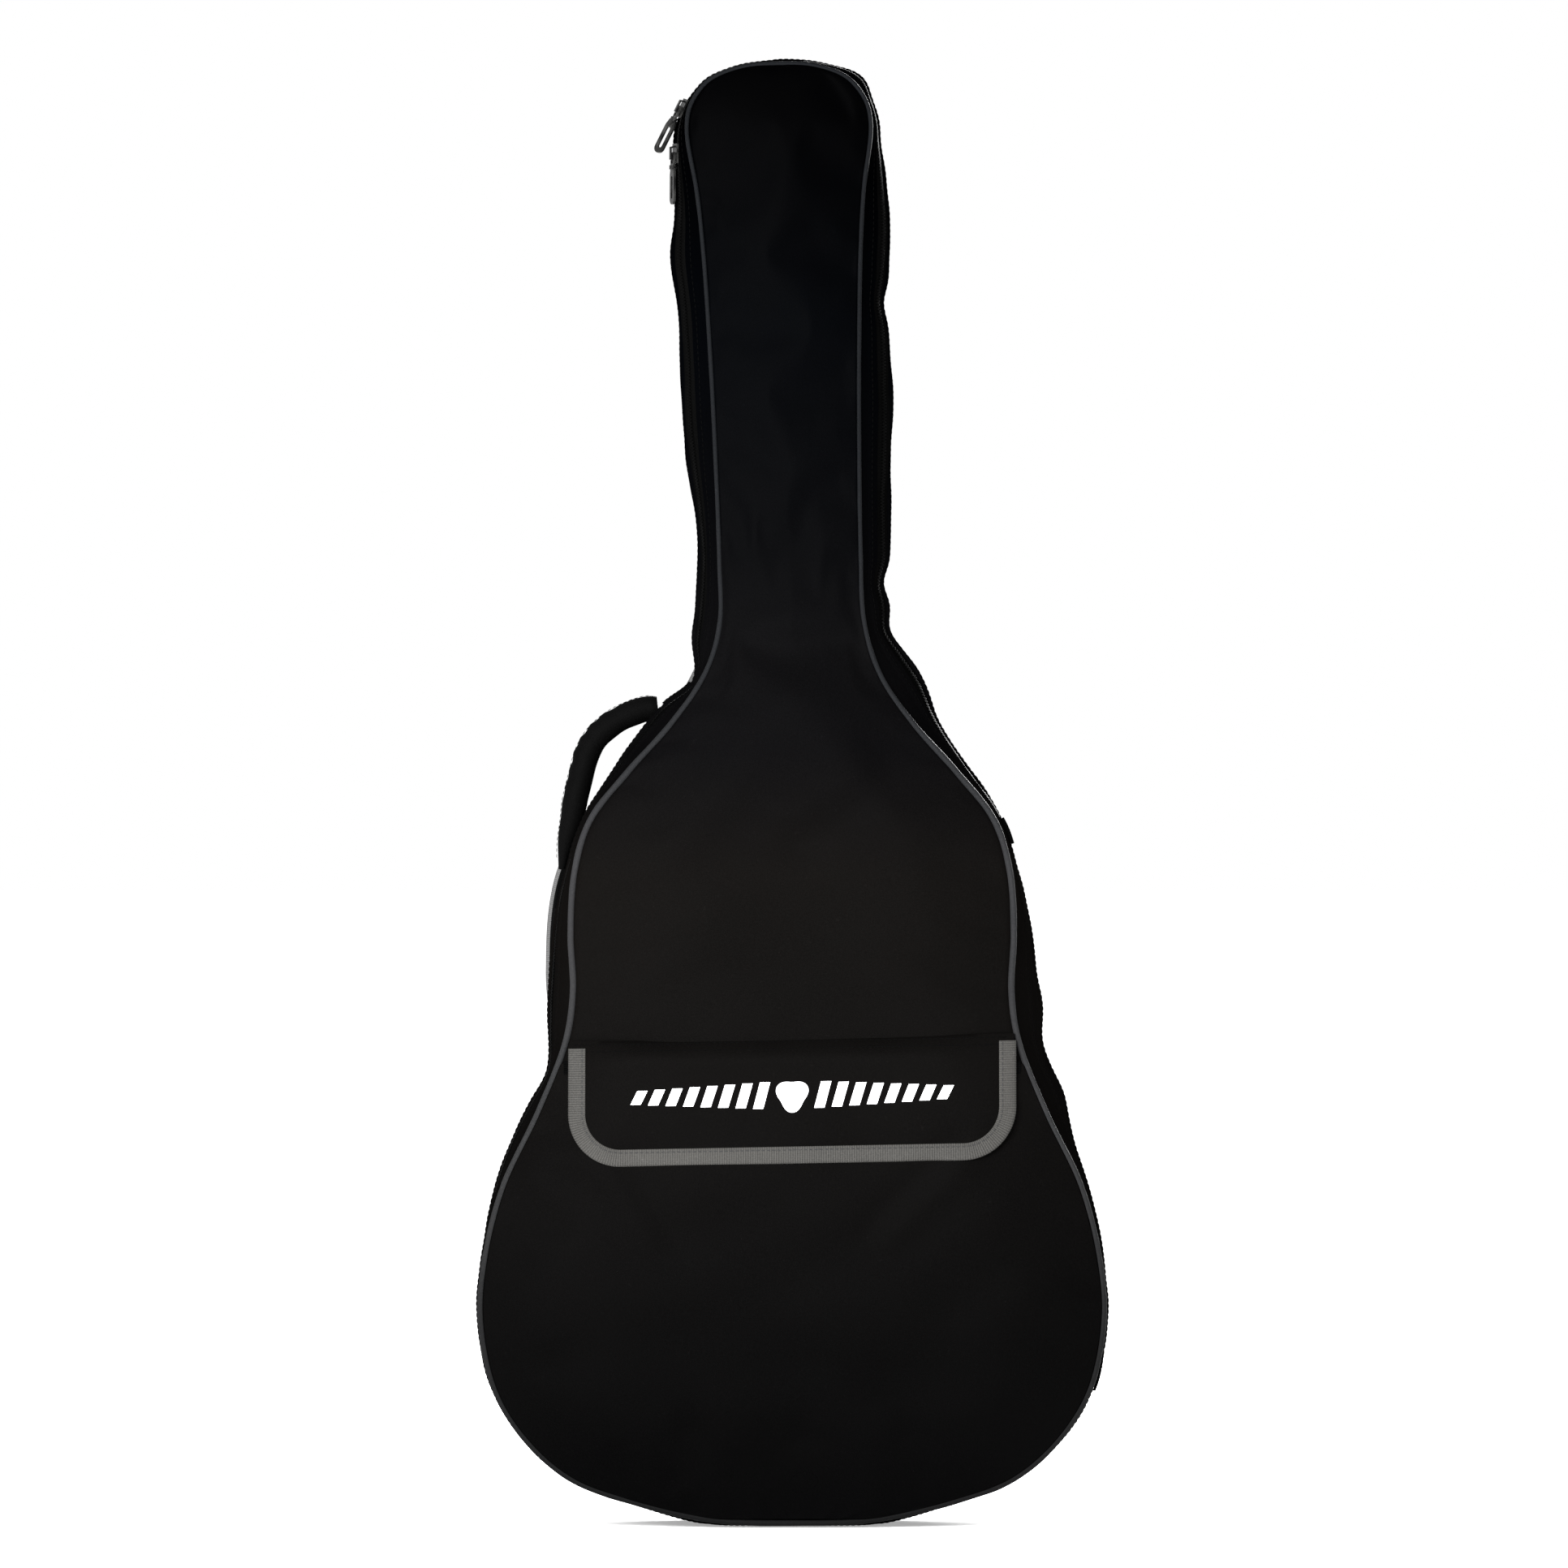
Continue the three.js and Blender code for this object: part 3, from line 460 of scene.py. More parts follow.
def build(name, *parts, angle=50):
    """One mesh object from parts in millimetres, smooth except at edges sharper than angle."""
    points, quads, uvs, start = [], [], [], 0
    for part_points, part_quads, part_uvs in parts:
        points.append(part_points)
        quads.append(part_quads + start)
        uvs.append(part_uvs)
        start += len(part_points)
    mesh = bpy.data.meshes.new(name)
    mesh.from_pydata((np.concatenate(points) * MM).tolist(), [], np.concatenate(quads).tolist())
    layer = mesh.uv_layers.new(name="UVMap")
    layer.data.foreach_set("uv", (np.concatenate(uvs) * MM).astype(np.float32).ravel())
    mesh.polygons.foreach_set("use_smooth", np.ones(len(mesh.polygons), bool))
    mesh.set_sharp_from_angle(angle=math.radians(angle))
    obj = bpy.data.objects.new(name, mesh)
    bpy.context.scene.collection.objects.link(obj)
    return obj


def dress(obj, material, body=None, stands_for=(), rounded=False):
    """Gives a piece its material, the body it rides on, and the CAD nodes it stands for."""
    obj.data.materials.append(MATERIALS[material])
    if rounded:
        subdivided = obj.modifiers.new("rounded", "SUBSURF")
        subdivided.levels = subdivided.render_levels = 1
    if body:
        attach(obj, body)
    if stands_for:
        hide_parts(*stands_for)
    return obj


def sew(name, slot, body, *runs, material="thread"):
    """One piece of all the stitches in some runs."""
    return dress(build(name, *runs), material, body)


def stitch_run(path, out, pitch=4.2, length=3.0, width=0.7, height=0.5):
    """Stitches along a path of points; out is one outward direction, or one for each point."""
    path = np.asarray(path, float)
    out = np.broadcast_to(np.asarray(out, float), path.shape)
    run = run_of(path)
    at = np.arange(pitch / 2, run[-1] - pitch / 3, pitch)
    ahead = sampled(path, run, at + 0.5) - sampled(path, run, at - 0.5)
    return beads(sampled(path, run, at), ahead, sampled(out, run, at), length, width, height)


# ---------------- cloth simulation


SETTLING_FRAMES = 18


def settled(grid, held, outward, pressure, slack, cap):
    """The grid after a short cloth simulation: slack cloth blown out from behind, with some points held.

    grid is rows and columns of points. outward is the side the pressure pushes to, -1 or 1 along Y. cap is
    how far a point may move, with a soft limit: in its plane, inwards and outwards.
    """
    rows, columns = grid.shape[:2]
    i, j = np.meshgrid(np.arange(rows - 1), np.arange(columns - 1), indexing="ij")
    corner = i * columns + j
    quads = np.stack([corner, corner + 1, corner + columns + 1, corner + columns], -1).reshape(-1, 4)
    if outward > 0:
        quads = quads[:, ::-1]
    cloth_mesh = build("settling", (grid.reshape(-1, 3), quads, np.zeros((len(quads), 4, 2))))
    group = cloth_mesh.vertex_groups.new(name="held")
    group.add([int(k) for k in np.flatnonzero(held.ravel())], 1.0, "REPLACE")
    cloth = cloth_mesh.modifiers.new("cloth", "CLOTH")
    settings = cloth.settings
    settings.vertex_group_mass = "held"
    settings.quality = 4
    settings.mass = 0.4
    settings.tension_stiffness = settings.compression_stiffness = 18
    settings.shear_stiffness = 8
    settings.bending_stiffness = 6
    settings.use_pressure = True
    settings.uniform_pressure_force = pressure
    settings.shrink_min = -slack
    settings.effector_weights.gravity = 0
    scene = bpy.context.scene
    for number in range(1, SETTLING_FRAMES + 1):
        scene.frame_set(number)
    shaped = cloth_mesh.evaluated_get(bpy.context.evaluated_depsgraph_get()).data
    moved = np.zeros(len(shaped.vertices) * 3, np.float32)
    shaped.vertices.foreach_get("co", moved)
    bpy.data.objects.remove(cloth_mesh)
    scene.frame_set(1)
    shift = moved.reshape(grid.shape) / MM - grid
    in_plane, inwards, outwards = cap
    along = np.maximum(np.linalg.norm(shift[..., [0, 2]], axis=-1), 1e-6)
    shift[..., [0, 2]] *= (in_plane * np.tanh(along / in_plane) / along)[..., None]
    depth = outward * shift[..., 1]
    limit = np.where(depth > 0, outwards, inwards)
    shift[..., 1] = outward * limit * np.tanh(depth / limit)
    return grid + shift


def border(rows, columns):
    held = np.ones((rows, columns), bool)
    held[1:-1, 1:-1] = False
    return held


# ---------------- the shells


def panel_grid(inset, top=None):
    """x and z of a panel's points, in rows from the bottom to the top or to the height top."""
    places = Places(evenly(0.92, TOP_STATION - 0.35, ROW_SPACING))
    x, z = edge(places, inset)
    if top is not None:
        below = z < top - 2
        x, z = np.r_[x[below], np.interp(top, z, x)], np.r_[z[below], top]
    share = np.linspace(-1, 1, PANEL_COLUMNS + 1)
    grid_x, grid_z = x[:, None] * share, np.repeat(z[:, None], len(share), 1)
    if top is None:
        line_x, line_z = edge(Places(np.linspace(TOP_STATION, TOP_STATION - 3, 60)), inset)
        arched = np.interp(np.abs(grid_x), line_x, line_z)
        grid_z += (arched - z[-1]) * smoothstep(grid_z, z[-1] - 30, z[-1]) * (np.abs(grid_x) < x[-1])
    return grid_x, grid_z


def placed(x, y, z):
    return lean(np.stack([x, y, z], -1))


def add_panel(name, face, outward, body, nodes, shape):
    """A padded panel and its lining. outward is -1 for the front and 1 for the back."""
    x, z = panel_grid(1.0)
    grid = placed(x, face(x, z), z)
    shaped = settled(grid, border(*x.shape), outward, **shape)
    inner_shift = np.zeros(grid.shape)
    inner_shift[..., 1] = -outward * PADDED
    panel = build(name + "_cloth", sheet_solid(shaped, grid + inner_shift, planar=True))
    dress(panel, "shell", body, nodes[:2], rounded=True)
    x, z = panel_grid(6.0)
    y = face(x, z)
    near, far = (placed(x, y - outward * depth, z) for depth in (PADDED + 0.3, PADDED + 0.3 + LINING))
    lining = build(name + "_lining_cloth", sheet_solid(near, far, planar=True))
    dress(lining, "lining", body, nodes[2:])


GUSSET_ROWS = np.linspace(0, 1, 22) ** 1.15  # from the zip to the piping, closer together at the zip


def gusset_depth(distance):
    """How thick the padded gusset is at a distance from the zip's seam, where it is pressed flat."""
    return PADDED - 3.4 * np.exp(-distance / 7)


def add_gusset(name, side, body, nodes):
    """One half of the padded gusset and its lining. side is -1 for the lid and 1 for the base."""
    pair = FRONT_Y if side < 0 else BACK_Y
    start = ZIP_Y + side * SEAM_FROM_ZIP
    width = np.abs(depth_at(pair, ALL_ROUND.z) - start)[:, None]
    distance = (width - 1) * GUSSET_ROWS
    hem = 0.7 * (1 - smoothstep(distance, 6, 7.5))
    cloth = gusset_sheet(ALL_ROUND, start + side * distance, -hem, gusset_depth(distance), closed=True)
    cloth = build(name + "_cloth", cloth)
    dress(cloth, "side_cloth", body, nodes[:2])
    distance = (width - 7.6) * GUSSET_ROWS + 0.6
    depth = gusset_depth(distance) + 0.2
    lining = gusset_sheet(ALL_ROUND, start + side * distance, depth, depth + LINING, closed=True)
    dress(build(name + "_lining_cloth", lining), "lining", body, nodes[2:])
    tape_y = start + side * np.array([[0.2, 3, 6, 9]]) + 0 * width
    seams = [
        round_cord(ALL_ROUND, 6.6, lambda z: depth_at(pair, z) - side * 7.9, (1.7, 1.7)),
        gusset_sheet(ALL_ROUND, tape_y, 3.6, 6.9, closed=True),
    ]
    dress(build(name + "_seam_tape", *seams), "webbing", body)


def round_cord(places, inset, depth, radius, sides=10, wobble=0.0):
    """A cord that follows the piping line at some inset and depth. radius is a pair: body and neck."""
    x, z = edge(places, inset)
    angles = np.linspace(0, 2 * math.pi, sides, endpoint=False)
    radii = depth_at(radius, places.z)
    size = (radii * (1 + wobble * uneven(places.run, 0 * places.run, 22, 31)))[:, None]
    out = size * np.cos(angles)
    centre_y = depth(places.z)[:, None] + size * np.sin(angles)
    return loft(
        placed(x[:, None] + places.nx[:, None] * out, centre_y, z[:, None] + places.nz[:, None] * out),
        closed=True,
    )


def add_shells():
    for side, face, outward, body, pressure, slack in (
        ("front", front_face, -1, "lid", 1.8, 0.007),
        ("back", back_face, 1, "base", 2, 0.008),
    ):
        nodes = [side + layer for layer in ("_panel", "_padding", "_lining")]
        shape = {"pressure": pressure, "slack": slack, "cap": (3, 3, 5)}
        add_panel(side + "_panel", face, outward, body, nodes, shape)
    for name, side, body in (("lid", -1, "lid"), ("base", 1, "base")):
        layers = ["gusset", "gusset_padding", "gusset_lining"]
        add_gusset(name + "_gusset", side, body, [f"{name}_{layer}" for layer in layers])
    for name, pair, body, material in (
        ("front_piping", FRONT_Y, "lid", "piping"),
        ("back_piping", BACK_Y, "base", "dark_piping"),
    ):
        cord = round_cord(ALL_ROUND, 0, lambda z, pair=pair: depth_at(pair, z), PIPING_RADIUS, wobble=0.05)
        dress(build(name + "_cord", cord), material, body, [name])


def add_hinge():
    """The stretch of gusset with no zip, between the base and the lid."""
    places = Places(evenly(HINGE_FROM - 0.1, HINGE_TO + 0.1, EDGE_SPACING))
    y = np.broadcast_to(ZIP_Y + np.linspace(-8.6, 8.6, 18), (len(places.t), 18))
    cloth = build("hinge_gusset_cloth", gusset_sheet(places, y, 0.2, 1.4))
    ends = []
    for t in (HINGE_FROM + 0.28, HINGE_TO - 0.3):
        close = Places(np.linspace(t - 0.26, t + 0.26, 7))
        rows = np.broadcast_to(ZIP_Y + np.linspace(-10, 10, 14), (7, 14))
        ends.append(gusset_sheet(close, rows, -2.2, -1.0))
    patches = build("zip_end_patches", *ends)
    dress(cloth, "side_cloth", None, ["hinge_gusset"])
    dress(patches, "webbing", None, ["zip_end_lower", "zip_end_upper"])
    for piece in (cloth, patches):
        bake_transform(piece)


# ---------------- the zip


def add_zip():
    places = Places(evenly(HINGE_TO, STATIONS + HINGE_FROM, EDGE_SPACING))
    teeth = Places(evenly(HINGE_TO + 0.02, STATIONS + HINGE_FROM - 0.02, 1.15))
    for name, side, offset in (("lid", -1, 0), ("base", 1, 1)):
        across = side * np.array([[1.4, 3, 5, 7, 9.5]])
        tape = gusset_sheet(places, ZIP_Y + across + 0 * places.x[:, None], 0.5, 1.1)
        dress(build(f"zip_tape_{name}_woven", tape), "tape", name, ["zip_tape_" + name])
        chosen = slice(offset, None, 2)
        centre_y = ZIP_Y + side * np.array([[0.9]]) + 0 * teeth.x[:, None]
        centres = skin(teeth, centre_y, 0.6)[chosen, 0]
        across_way = skin(teeth, centre_y + side, 0.6)[chosen, 0] - centres
        out = centres - skin(teeth, centre_y, 1.6)[chosen, 0]
        coil = beads(centres, across_way, out, 3.4, 1.5, 1.7, taper=0.75)
        dress(build(f"zip_coil_{name}_teeth", coil), "nylon", name, ["zip_coil_" + name])
        seam_y = ZIP_Y + side * np.array([[SEAM_FROM_ZIP + 4.6]]) + 0 * ALL_ROUND.x[:, None]
        seam = skin(ALL_ROUND, seam_y, -0.8)[:, 0]
        out = seam - skin(ALL_ROUND, seam_y, 1)[:, 0]
        thread = stitch_run(np.r_[seam, seam[:1]], np.r_[out, out[:1]])
        sew(f"{name}_gusset_stitches", "shell", name, thread)


def add_hardware():
    """The sliders, pulls and buckles keep their CAD shape, with rounded edges."""
    pieces = [(kind + level, "metal", 0.4) for kind in ("slider_", "pull_") for level in ("lower", "upper")]
    pieces += [("strap_buckle_" + side, "plastic", 0.9) for side in ("left", "right")]
    for node, material, width in pieces:
        obj = frame["nodes"][node]
        obj.data.materials.clear()
        obj.data.materials.append(MATERIALS[material])
        bevel = obj.modifiers.new("rounded", "BEVEL")
        bevel.width = width * MM
        bevel.segments = 3
        bevel.limit_method = "ANGLE"


# ---------------- pocket and flap


def add_pocket():
    x, z = panel_grid(1.0, POCKET_TOP)
    grid = placed(x, pocket_face(x, z), z)
    shaped = settled(grid, border(*x.shape), -1, pressure=1.8, slack=0.007, cap=(2, 0.8, 5))
    under = grid + np.array([0, FABRIC, 0])
    pocket = build("pocket_panel_cloth", sheet_solid(shaped, under, planar=True))
    dress(pocket, "shell", "lid", ["pocket_panel"], rounded=True)
    x, z = panel_grid(3.0, POCKET_TOP)
    x, z = np.repeat(x[-1:], 7, 0), POCKET_TOP + np.linspace(-9, 0.6, 7)[:, None] + 0 * x[-1:]
    y = pocket_face(x, z)
    lift = np.array([0.2, 1.0, 1.2, 1.2, 1.2, 1.1, 0.5])[:, None]
    hem = build("pocket_hem_cloth", sheet_solid(placed(x, y - lift, z), placed(x, y + 0.4, z), planar=True))
    dress(hem, "webbing", "lid", ["pocket_hem"])
    line = placed(x[1], y[1] - 1.25, z[1] + 0.4)
    sew("pocket_hem_stitches", "webbing", "lid", stitch_run(line, (0, -1, 0)))
    for side, middle in (("left", -HOOK_X), ("right", HOOK_X)):
        loop = surface_patch(middle, HOOK_Z, *HOOK_SIZE, pocket_face, (-1.3, 0))
        dress(build(f"pocket_loop_{side}_pile", loop), "pile", "lid", ["pocket_loop_" + side])
        hook = surface_patch(middle, HOOK_Z, *HOOK_SIZE, flap_face, (-0.2, 0.8))
        dress(build(f"flap_hook_{side}_pile", hook), "pile", "flap", ["flap_hook_" + side])


def surface_patch(x, z, width, height, face, lifts):
    """A flat patch on a surface, between two distances from it along Y."""
    xs, zs = np.meshgrid(
        np.linspace(x - width / 2, x + width / 2, 16), np.linspace(z - height / 2, z + height / 2, 8)
    )
    y = face(xs, zs)
    return sheet_solid(placed(xs, y + lifts[0], zs), placed(xs, y + lifts[1], zs), planar=True)


def slanted(points):
    """The flap's points, turned to its small slant."""
    points = np.array(points, float)
    points[..., 2] += FLAP_SLANT * points[..., 0]
    return points


def flap_half(z):
    below = np.maximum(0, FLAP_BOTTOM + FLAP_CORNER - z)
    return FLAP_HALF - FLAP_CORNER + np.sqrt(np.maximum(0, FLAP_CORNER**2 - below**2))


def flap_wave(x, z):
    """The flap's free edge waves a little."""
    free = np.clip((FLAP_TOP - z) / (FLAP_TOP - FLAP_BOTTOM), 0, 1) ** 2
    return -free * (0.8 + 0.9 * np.sin(x / 31 + 0.6))


def flap_y(x, z):
    return flap_face(x, z) + flap_wave(x, z)


def flap_rail():
    """The flap's free edge from the top left round the bottom: points and outward normals."""
    half = FLAP_HALF - FLAP_CORNER
    corner_z = FLAP_BOTTOM + FLAP_CORNER
    left = [(-FLAP_HALF, z, -1, 0) for z in np.linspace(FLAP_TOP - 5, corner_z, 18, endpoint=False)]
    for a in np.linspace(0, math.pi / 2, 20, endpoint=False):
        nx, nz = -math.cos(a), -math.sin(a)
        left.append((-half + FLAP_CORNER * nx, corner_z + FLAP_CORNER * nz, nx, nz))
    level = [(x, FLAP_BOTTOM, 0, -1) for x in np.linspace(-half, half, 75)]
    right = [(-x, z, -nx, nz) for x, z, nx, nz in left[::-1]]
    return np.array(left + level + right, float)


def add_flap():
    z = FLAP_BOTTOM + 1 + (FLAP_TOP - FLAP_BOTTOM - 1) * np.linspace(0, 1, 46) ** 1.5
    share = np.linspace(-1, 1, 81)
    x, z = (flap_half(z)[:, None] - 1) * share, np.repeat(z[:, None], len(share), 1)
    y = flap_y(x, z)
    near, far = slanted(np.stack([x, y - FLAP_THICK, z], -1)), slanted(np.stack([x, y, z], -1))
    flap = build("pocket_flap_cloth", sheet_solid(near, far, planar=True))
    dress(flap, "shell", None, ["pocket_flap"])

    rail = flap_rail()
    profile = np.array(
        [(BINDING, -0.5), (BINDING - 0.5, -1.0), (9, -1.25), (4.5, -1.45), (1.2, -1.3), (0.1, -0.6)]
        + [(-0.4, 0.6), (-0.2, 1.8), (1.0, 2.5), (4.5, 2.6), (9, 2.5), (BINDING, 2.2)]
    )
    inset = profile[:, 0]
    px = rail[:, 0, None] - rail[:, 2, None] * inset
    pz = rail[:, 1, None] - rail[:, 3, None] * inset
    py = flap_y(px, np.maximum(pz, FLAP_BOTTOM)) - FLAP_THICK + profile[:, 1]
    binding = build("flap_binding_tape", loft(slanted(np.stack([px, py, pz], -1))))
    dress(binding, "binding", None, ["flap_binding"])
    sx, sz = rail[:, 0] - rail[:, 2] * 9.6, rail[:, 1] - rail[:, 3] * 9.6
    line = slanted(np.stack([sx, flap_y(sx, sz) - FLAP_THICK - 1.3, sz], -1))
    run = stitch_run(line, (0, -1, 0), pitch=3.8, length=2.7)
    thread = sew("flap_binding_stitches", "trim", None, run, material="grey_thread")
    top_x = np.linspace(-FLAP_HALF + 3, FLAP_HALF - 3, 120)
    seams = []
    for top_z in (FLAP_TOP - 2.5, FLAP_TOP - 7.5):
        top_y = flap_y(top_x, top_z + 0 * top_x) - FLAP_THICK - 0.1
        seams.append(stitch_run(slanted(np.stack([top_x, top_y, top_z + 0 * top_x], -1)), (0, -1, 0)))
    seam = sew("flap_top_stitches", "shell", None, *seams)
    for piece in (flap, binding, thread, seam):
        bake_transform(piece)
    add_motif()


def add_motif():
    """A plain printed motif in the middle of the flap: a plectrum between two rows of slanting bars."""
    rings, turn = np.linspace(0.02, 1, 8)[:, None], np.linspace(0, 2 * math.pi, 60, endpoint=False)
    reach = 11 * (1 + 0.15 * np.cos(3 * (turn + math.pi / 2)))
    shapes = [(rings * reach * np.cos(turn), MOTIF_HEIGHT + rings * reach * np.sin(turn))]
    lower, across = np.linspace(0, 1, 8), np.linspace(-0.5, 0.5, 4)[:, None]
    for side in (-1, 1):
        for number in range(MOTIF_BARS):
            middle = side * (22 + 12.6 * number)
            height = 19 - 1.3 * number
            x = middle + 7.4 * across + 5 * (lower - 0.5)
            shapes.append((x, MOTIF_HEIGHT + height * (lower - 0.5) + 0 * across))
    parts = []
    for x, z in shapes:
        y = flap_y(x, z) - FLAP_THICK
        grid = [slanted(np.stack([x, y - lift, z], -1)) for lift in (0.16, -0.1)]
        parts.append(sheet_solid(*grid, planar=True) if len(x) == 4 else disc(*grid))
    dress(build("flap_motif", *parts, angle=30), "print", "flap")


def disc(front, back):
    """A thin plate from rings of points, front and back."""
    sections = np.concatenate([front, back[::-1]], 0).swapaxes(0, 1)
    return loft(sections, closed=True)


# ---------------- handle and straps


def smooth_path(points, count):
    """A Catmull-Rom curve through points, at count places an even distance apart: line, tangents, run."""
    points = np.asarray(points, float)
    points = np.r_[[2 * points[0] - points[1]], points, [2 * points[-1] - points[-2]]]
    pieces = []
    for p0, p1, p2, p3 in zip(points, points[1:], points[2:], points[3:]):
        w = np.linspace(0, 1, 24, endpoint=False)[:, None]
        t1, t2 = (p2 - p0) / 2, (p3 - p1) / 2
        pieces.append(hermite(w, p1, p2, t1, t2))
    line = np.concatenate([*pieces, points[-2:-1]])
    run = run_of(line)
    at = np.linspace(0, run[-1], count)
    line = sampled(line, run, at)
    return line, unit(np.gradient(line, axis=0)), at


DEPTHWISE = np.array([0.0, 1.0, 0.0])


def frames(tangent):
    """Across and up directions along a path. Across lies in the bag's plane."""
    side = unit(np.cross(DEPTHWISE, tangent))
    return side, unit(np.cross(tangent, side))


def swept(line, side, up, width, height):
    """Sections along a line: width and height say, for each place, how far each corner lies across and up."""
    return line[:, None] + side[:, None] * width[..., None] + up[:, None] * height[..., None]


def add_handle():
    line, tangent, run = smooth_path([(x, HANDLE_Y, z) for x, z in HANDLE_PATH], 120)
    side, up = frames(tangent)
    share = run / run[-1]
    radius = HANDLE_RADIUS * np.minimum(1, 0.86 + share * 4)
    radius = np.minimum(radius, 3.2 + 6.4 * np.clip((1 - share) / 0.32, 0, 1) ** 0.8)
    angles = np.linspace(0, 2 * math.pi, 28, endpoint=False)
    bend = smoothstep(share, 0.1, 0.3) * (1 - smoothstep(share, 0.45, 0.75))
    waves = bend * np.sin(run * 2 * math.pi / 11 + 0.8 * np.sin(run / 9))
    folds = 0.05 * waves[:, None] * np.clip(np.cos(angles), 0, 1)
    seam = -0.1 * np.exp(-((np.cos(angles) - 1) ** 2) / 0.004)[None]
    soft = 0.035 * uneven(run[:, None], angles * 8, 34, 41)
    size = radius[:, None] * (1 + folds + seam + soft)
    flat = 1 - 0.25 * smoothstep(share, 0.8, 1)[:, None]
    grip = swept(line, side, up, size * np.cos(angles) * flat, size * np.sin(angles) * 1.12)
    cloth = build("handle_grip_padded", loft(grip))
    dress(cloth, "webbing_fine", "handle", ["handle_grip", "handle_end_upper", "handle_end_lower"])
    stitched = line + side * (radius * 0.93)[:, None]
    sew("handle_grip_stitches", "webbing", "handle", stitch_run(stitched[4:-4], side[4:-4]))
    for name, start, end in (("upper", 16.15, 16.75), ("lower", 12.35, 12.95)):
        places = Places(np.linspace(STATIONS - end, STATIONS - start, 12))
        y = np.broadcast_to(HANDLE_Y + np.linspace(-13, 13, 14), (12, 14))
        tab = build(f"handle_tab_{name}_webbing", gusset_sheet(places, y, -2.3, 0.2))
        dress(tab, "webbing", "base", ["handle_tab_" + name])
        sew(f"handle_tab_{name}_stitches", "webbing", "base", *tab_rim(places))


def tab_rim(places):
    """Box stitches round a webbing patch on the gusset."""
    low, high = HANDLE_Y - 10.5, HANDLE_Y + 10.5
    inner = Places(np.linspace(places.t[1], places.t[-2], 12))

    def line(ys, which):
        grid = skin(which, ys, -2.4)
        out = grid - skin(which, ys, 0)
        return grid, out

    runs = []
    for y in (low, high):
        grid, out = line(np.full((12, 1), float(y)), inner)
        runs.append(stitch_run(grid[:, 0], out[:, 0], pitch=3.4, length=2.4))
    for index in (0, -1):
        grid, out = line(np.broadcast_to(np.linspace(low, high, 12), (12, 12)), inner)
        runs.append(stitch_run(grid[index], out[index], pitch=3.4, length=2.4))
    return runs


def strap_section(count):
    """Half width and thickness of a padded strap round its section, from -1 to 1, with sewn channels."""
    q = np.linspace(-1, 1, count)
    body = 0.32 + 0.68 * (1 - np.abs(q) ** 5) ** 0.6
    channel = 1 - 0.3 * np.exp(-(((np.abs(q) - STRAP_SEAM) / 0.07) ** 2))
    return q, body * channel


def add_straps():
    for name, path in STRAP_PATHS.items():
        sign = -1 if path[0][0] < 0 else 1
        line, tangent, run = smooth_path(path, 150)
        side, up = frames(tangent)
        share = run / run[-1]
        half = STRAP_WIDTH / 2 * (1 - 0.28 * share**3)
        half = half * (0.25 + 0.75 * np.clip((1 - share) / 0.035, 0, 1) ** 0.5)
        q, thick = strap_section(34)
        rumple = 0.35 * uneven(run[:, None], q * 25, 40, 51 + sign)
        top = half[:, None] * q, STRAP_THICK / 2 * thick + rumple * thick
        bottom = half[:, None] * q[::-1], -STRAP_THICK / 2 * thick[::-1] + 0 * rumple
        sections = np.concatenate([swept(line, side, up, *top), swept(line, side, up, *bottom)], 1)
        pad = build(f"strap_pad_{name}_padded", loft(sections))
        dress(pad, "strap_cloth", "base", ["strap_pad_" + name])
        edges, threads = [], []
        for edge_side in (-1, 1):
            rail = line + side * (edge_side * half)[:, None]
            angles = np.linspace(0, 2 * math.pi, 10, endpoint=False)
            width = 2.6 * np.cos(angles)[None] - 0.8 * edge_side + 0 * run[:, None]
            height = 2.4 * np.sin(angles)[None] + 0 * run[:, None]
            edges.append(loft(swept(rail, side, up, width, height)))
            for face in (-1, 1):
                where = line + side * (edge_side * STRAP_SEAM * half)[:, None]
                where = where + up * (face * STRAP_THICK * 0.36)
                threads.append(stitch_run(where[3:-3], face * up[3:-3], pitch=4.6, length=3.2))
        dress(build(f"strap_edge_{name}_binding", *edges), "pale_binding", "base")
        sew(f"strap_pad_{name}_stitches", "shell", "base", *threads)
        add_webbing(name, sign, line, tangent)


def belt(points, count, thick, rounded=0.0, wave=0.0):
    """A flat length of webbing along a path: thinner at its edges if rounded, and waving a little."""
    line, tangent, run = smooth_path(points, count)
    q = np.linspace(-1, 1, 9)
    q, face = np.r_[q, q[::-1]], np.r_[np.ones(9), -np.ones(9)]
    width = WEB_HALF * q[None] + 0 * run[:, None]
    height = thick * face[None] * (1 - rounded * np.abs(q) ** 6) + wave * np.sin(run / 23)[:, None]
    return loft(swept(line, *frames(tangent), width, height))


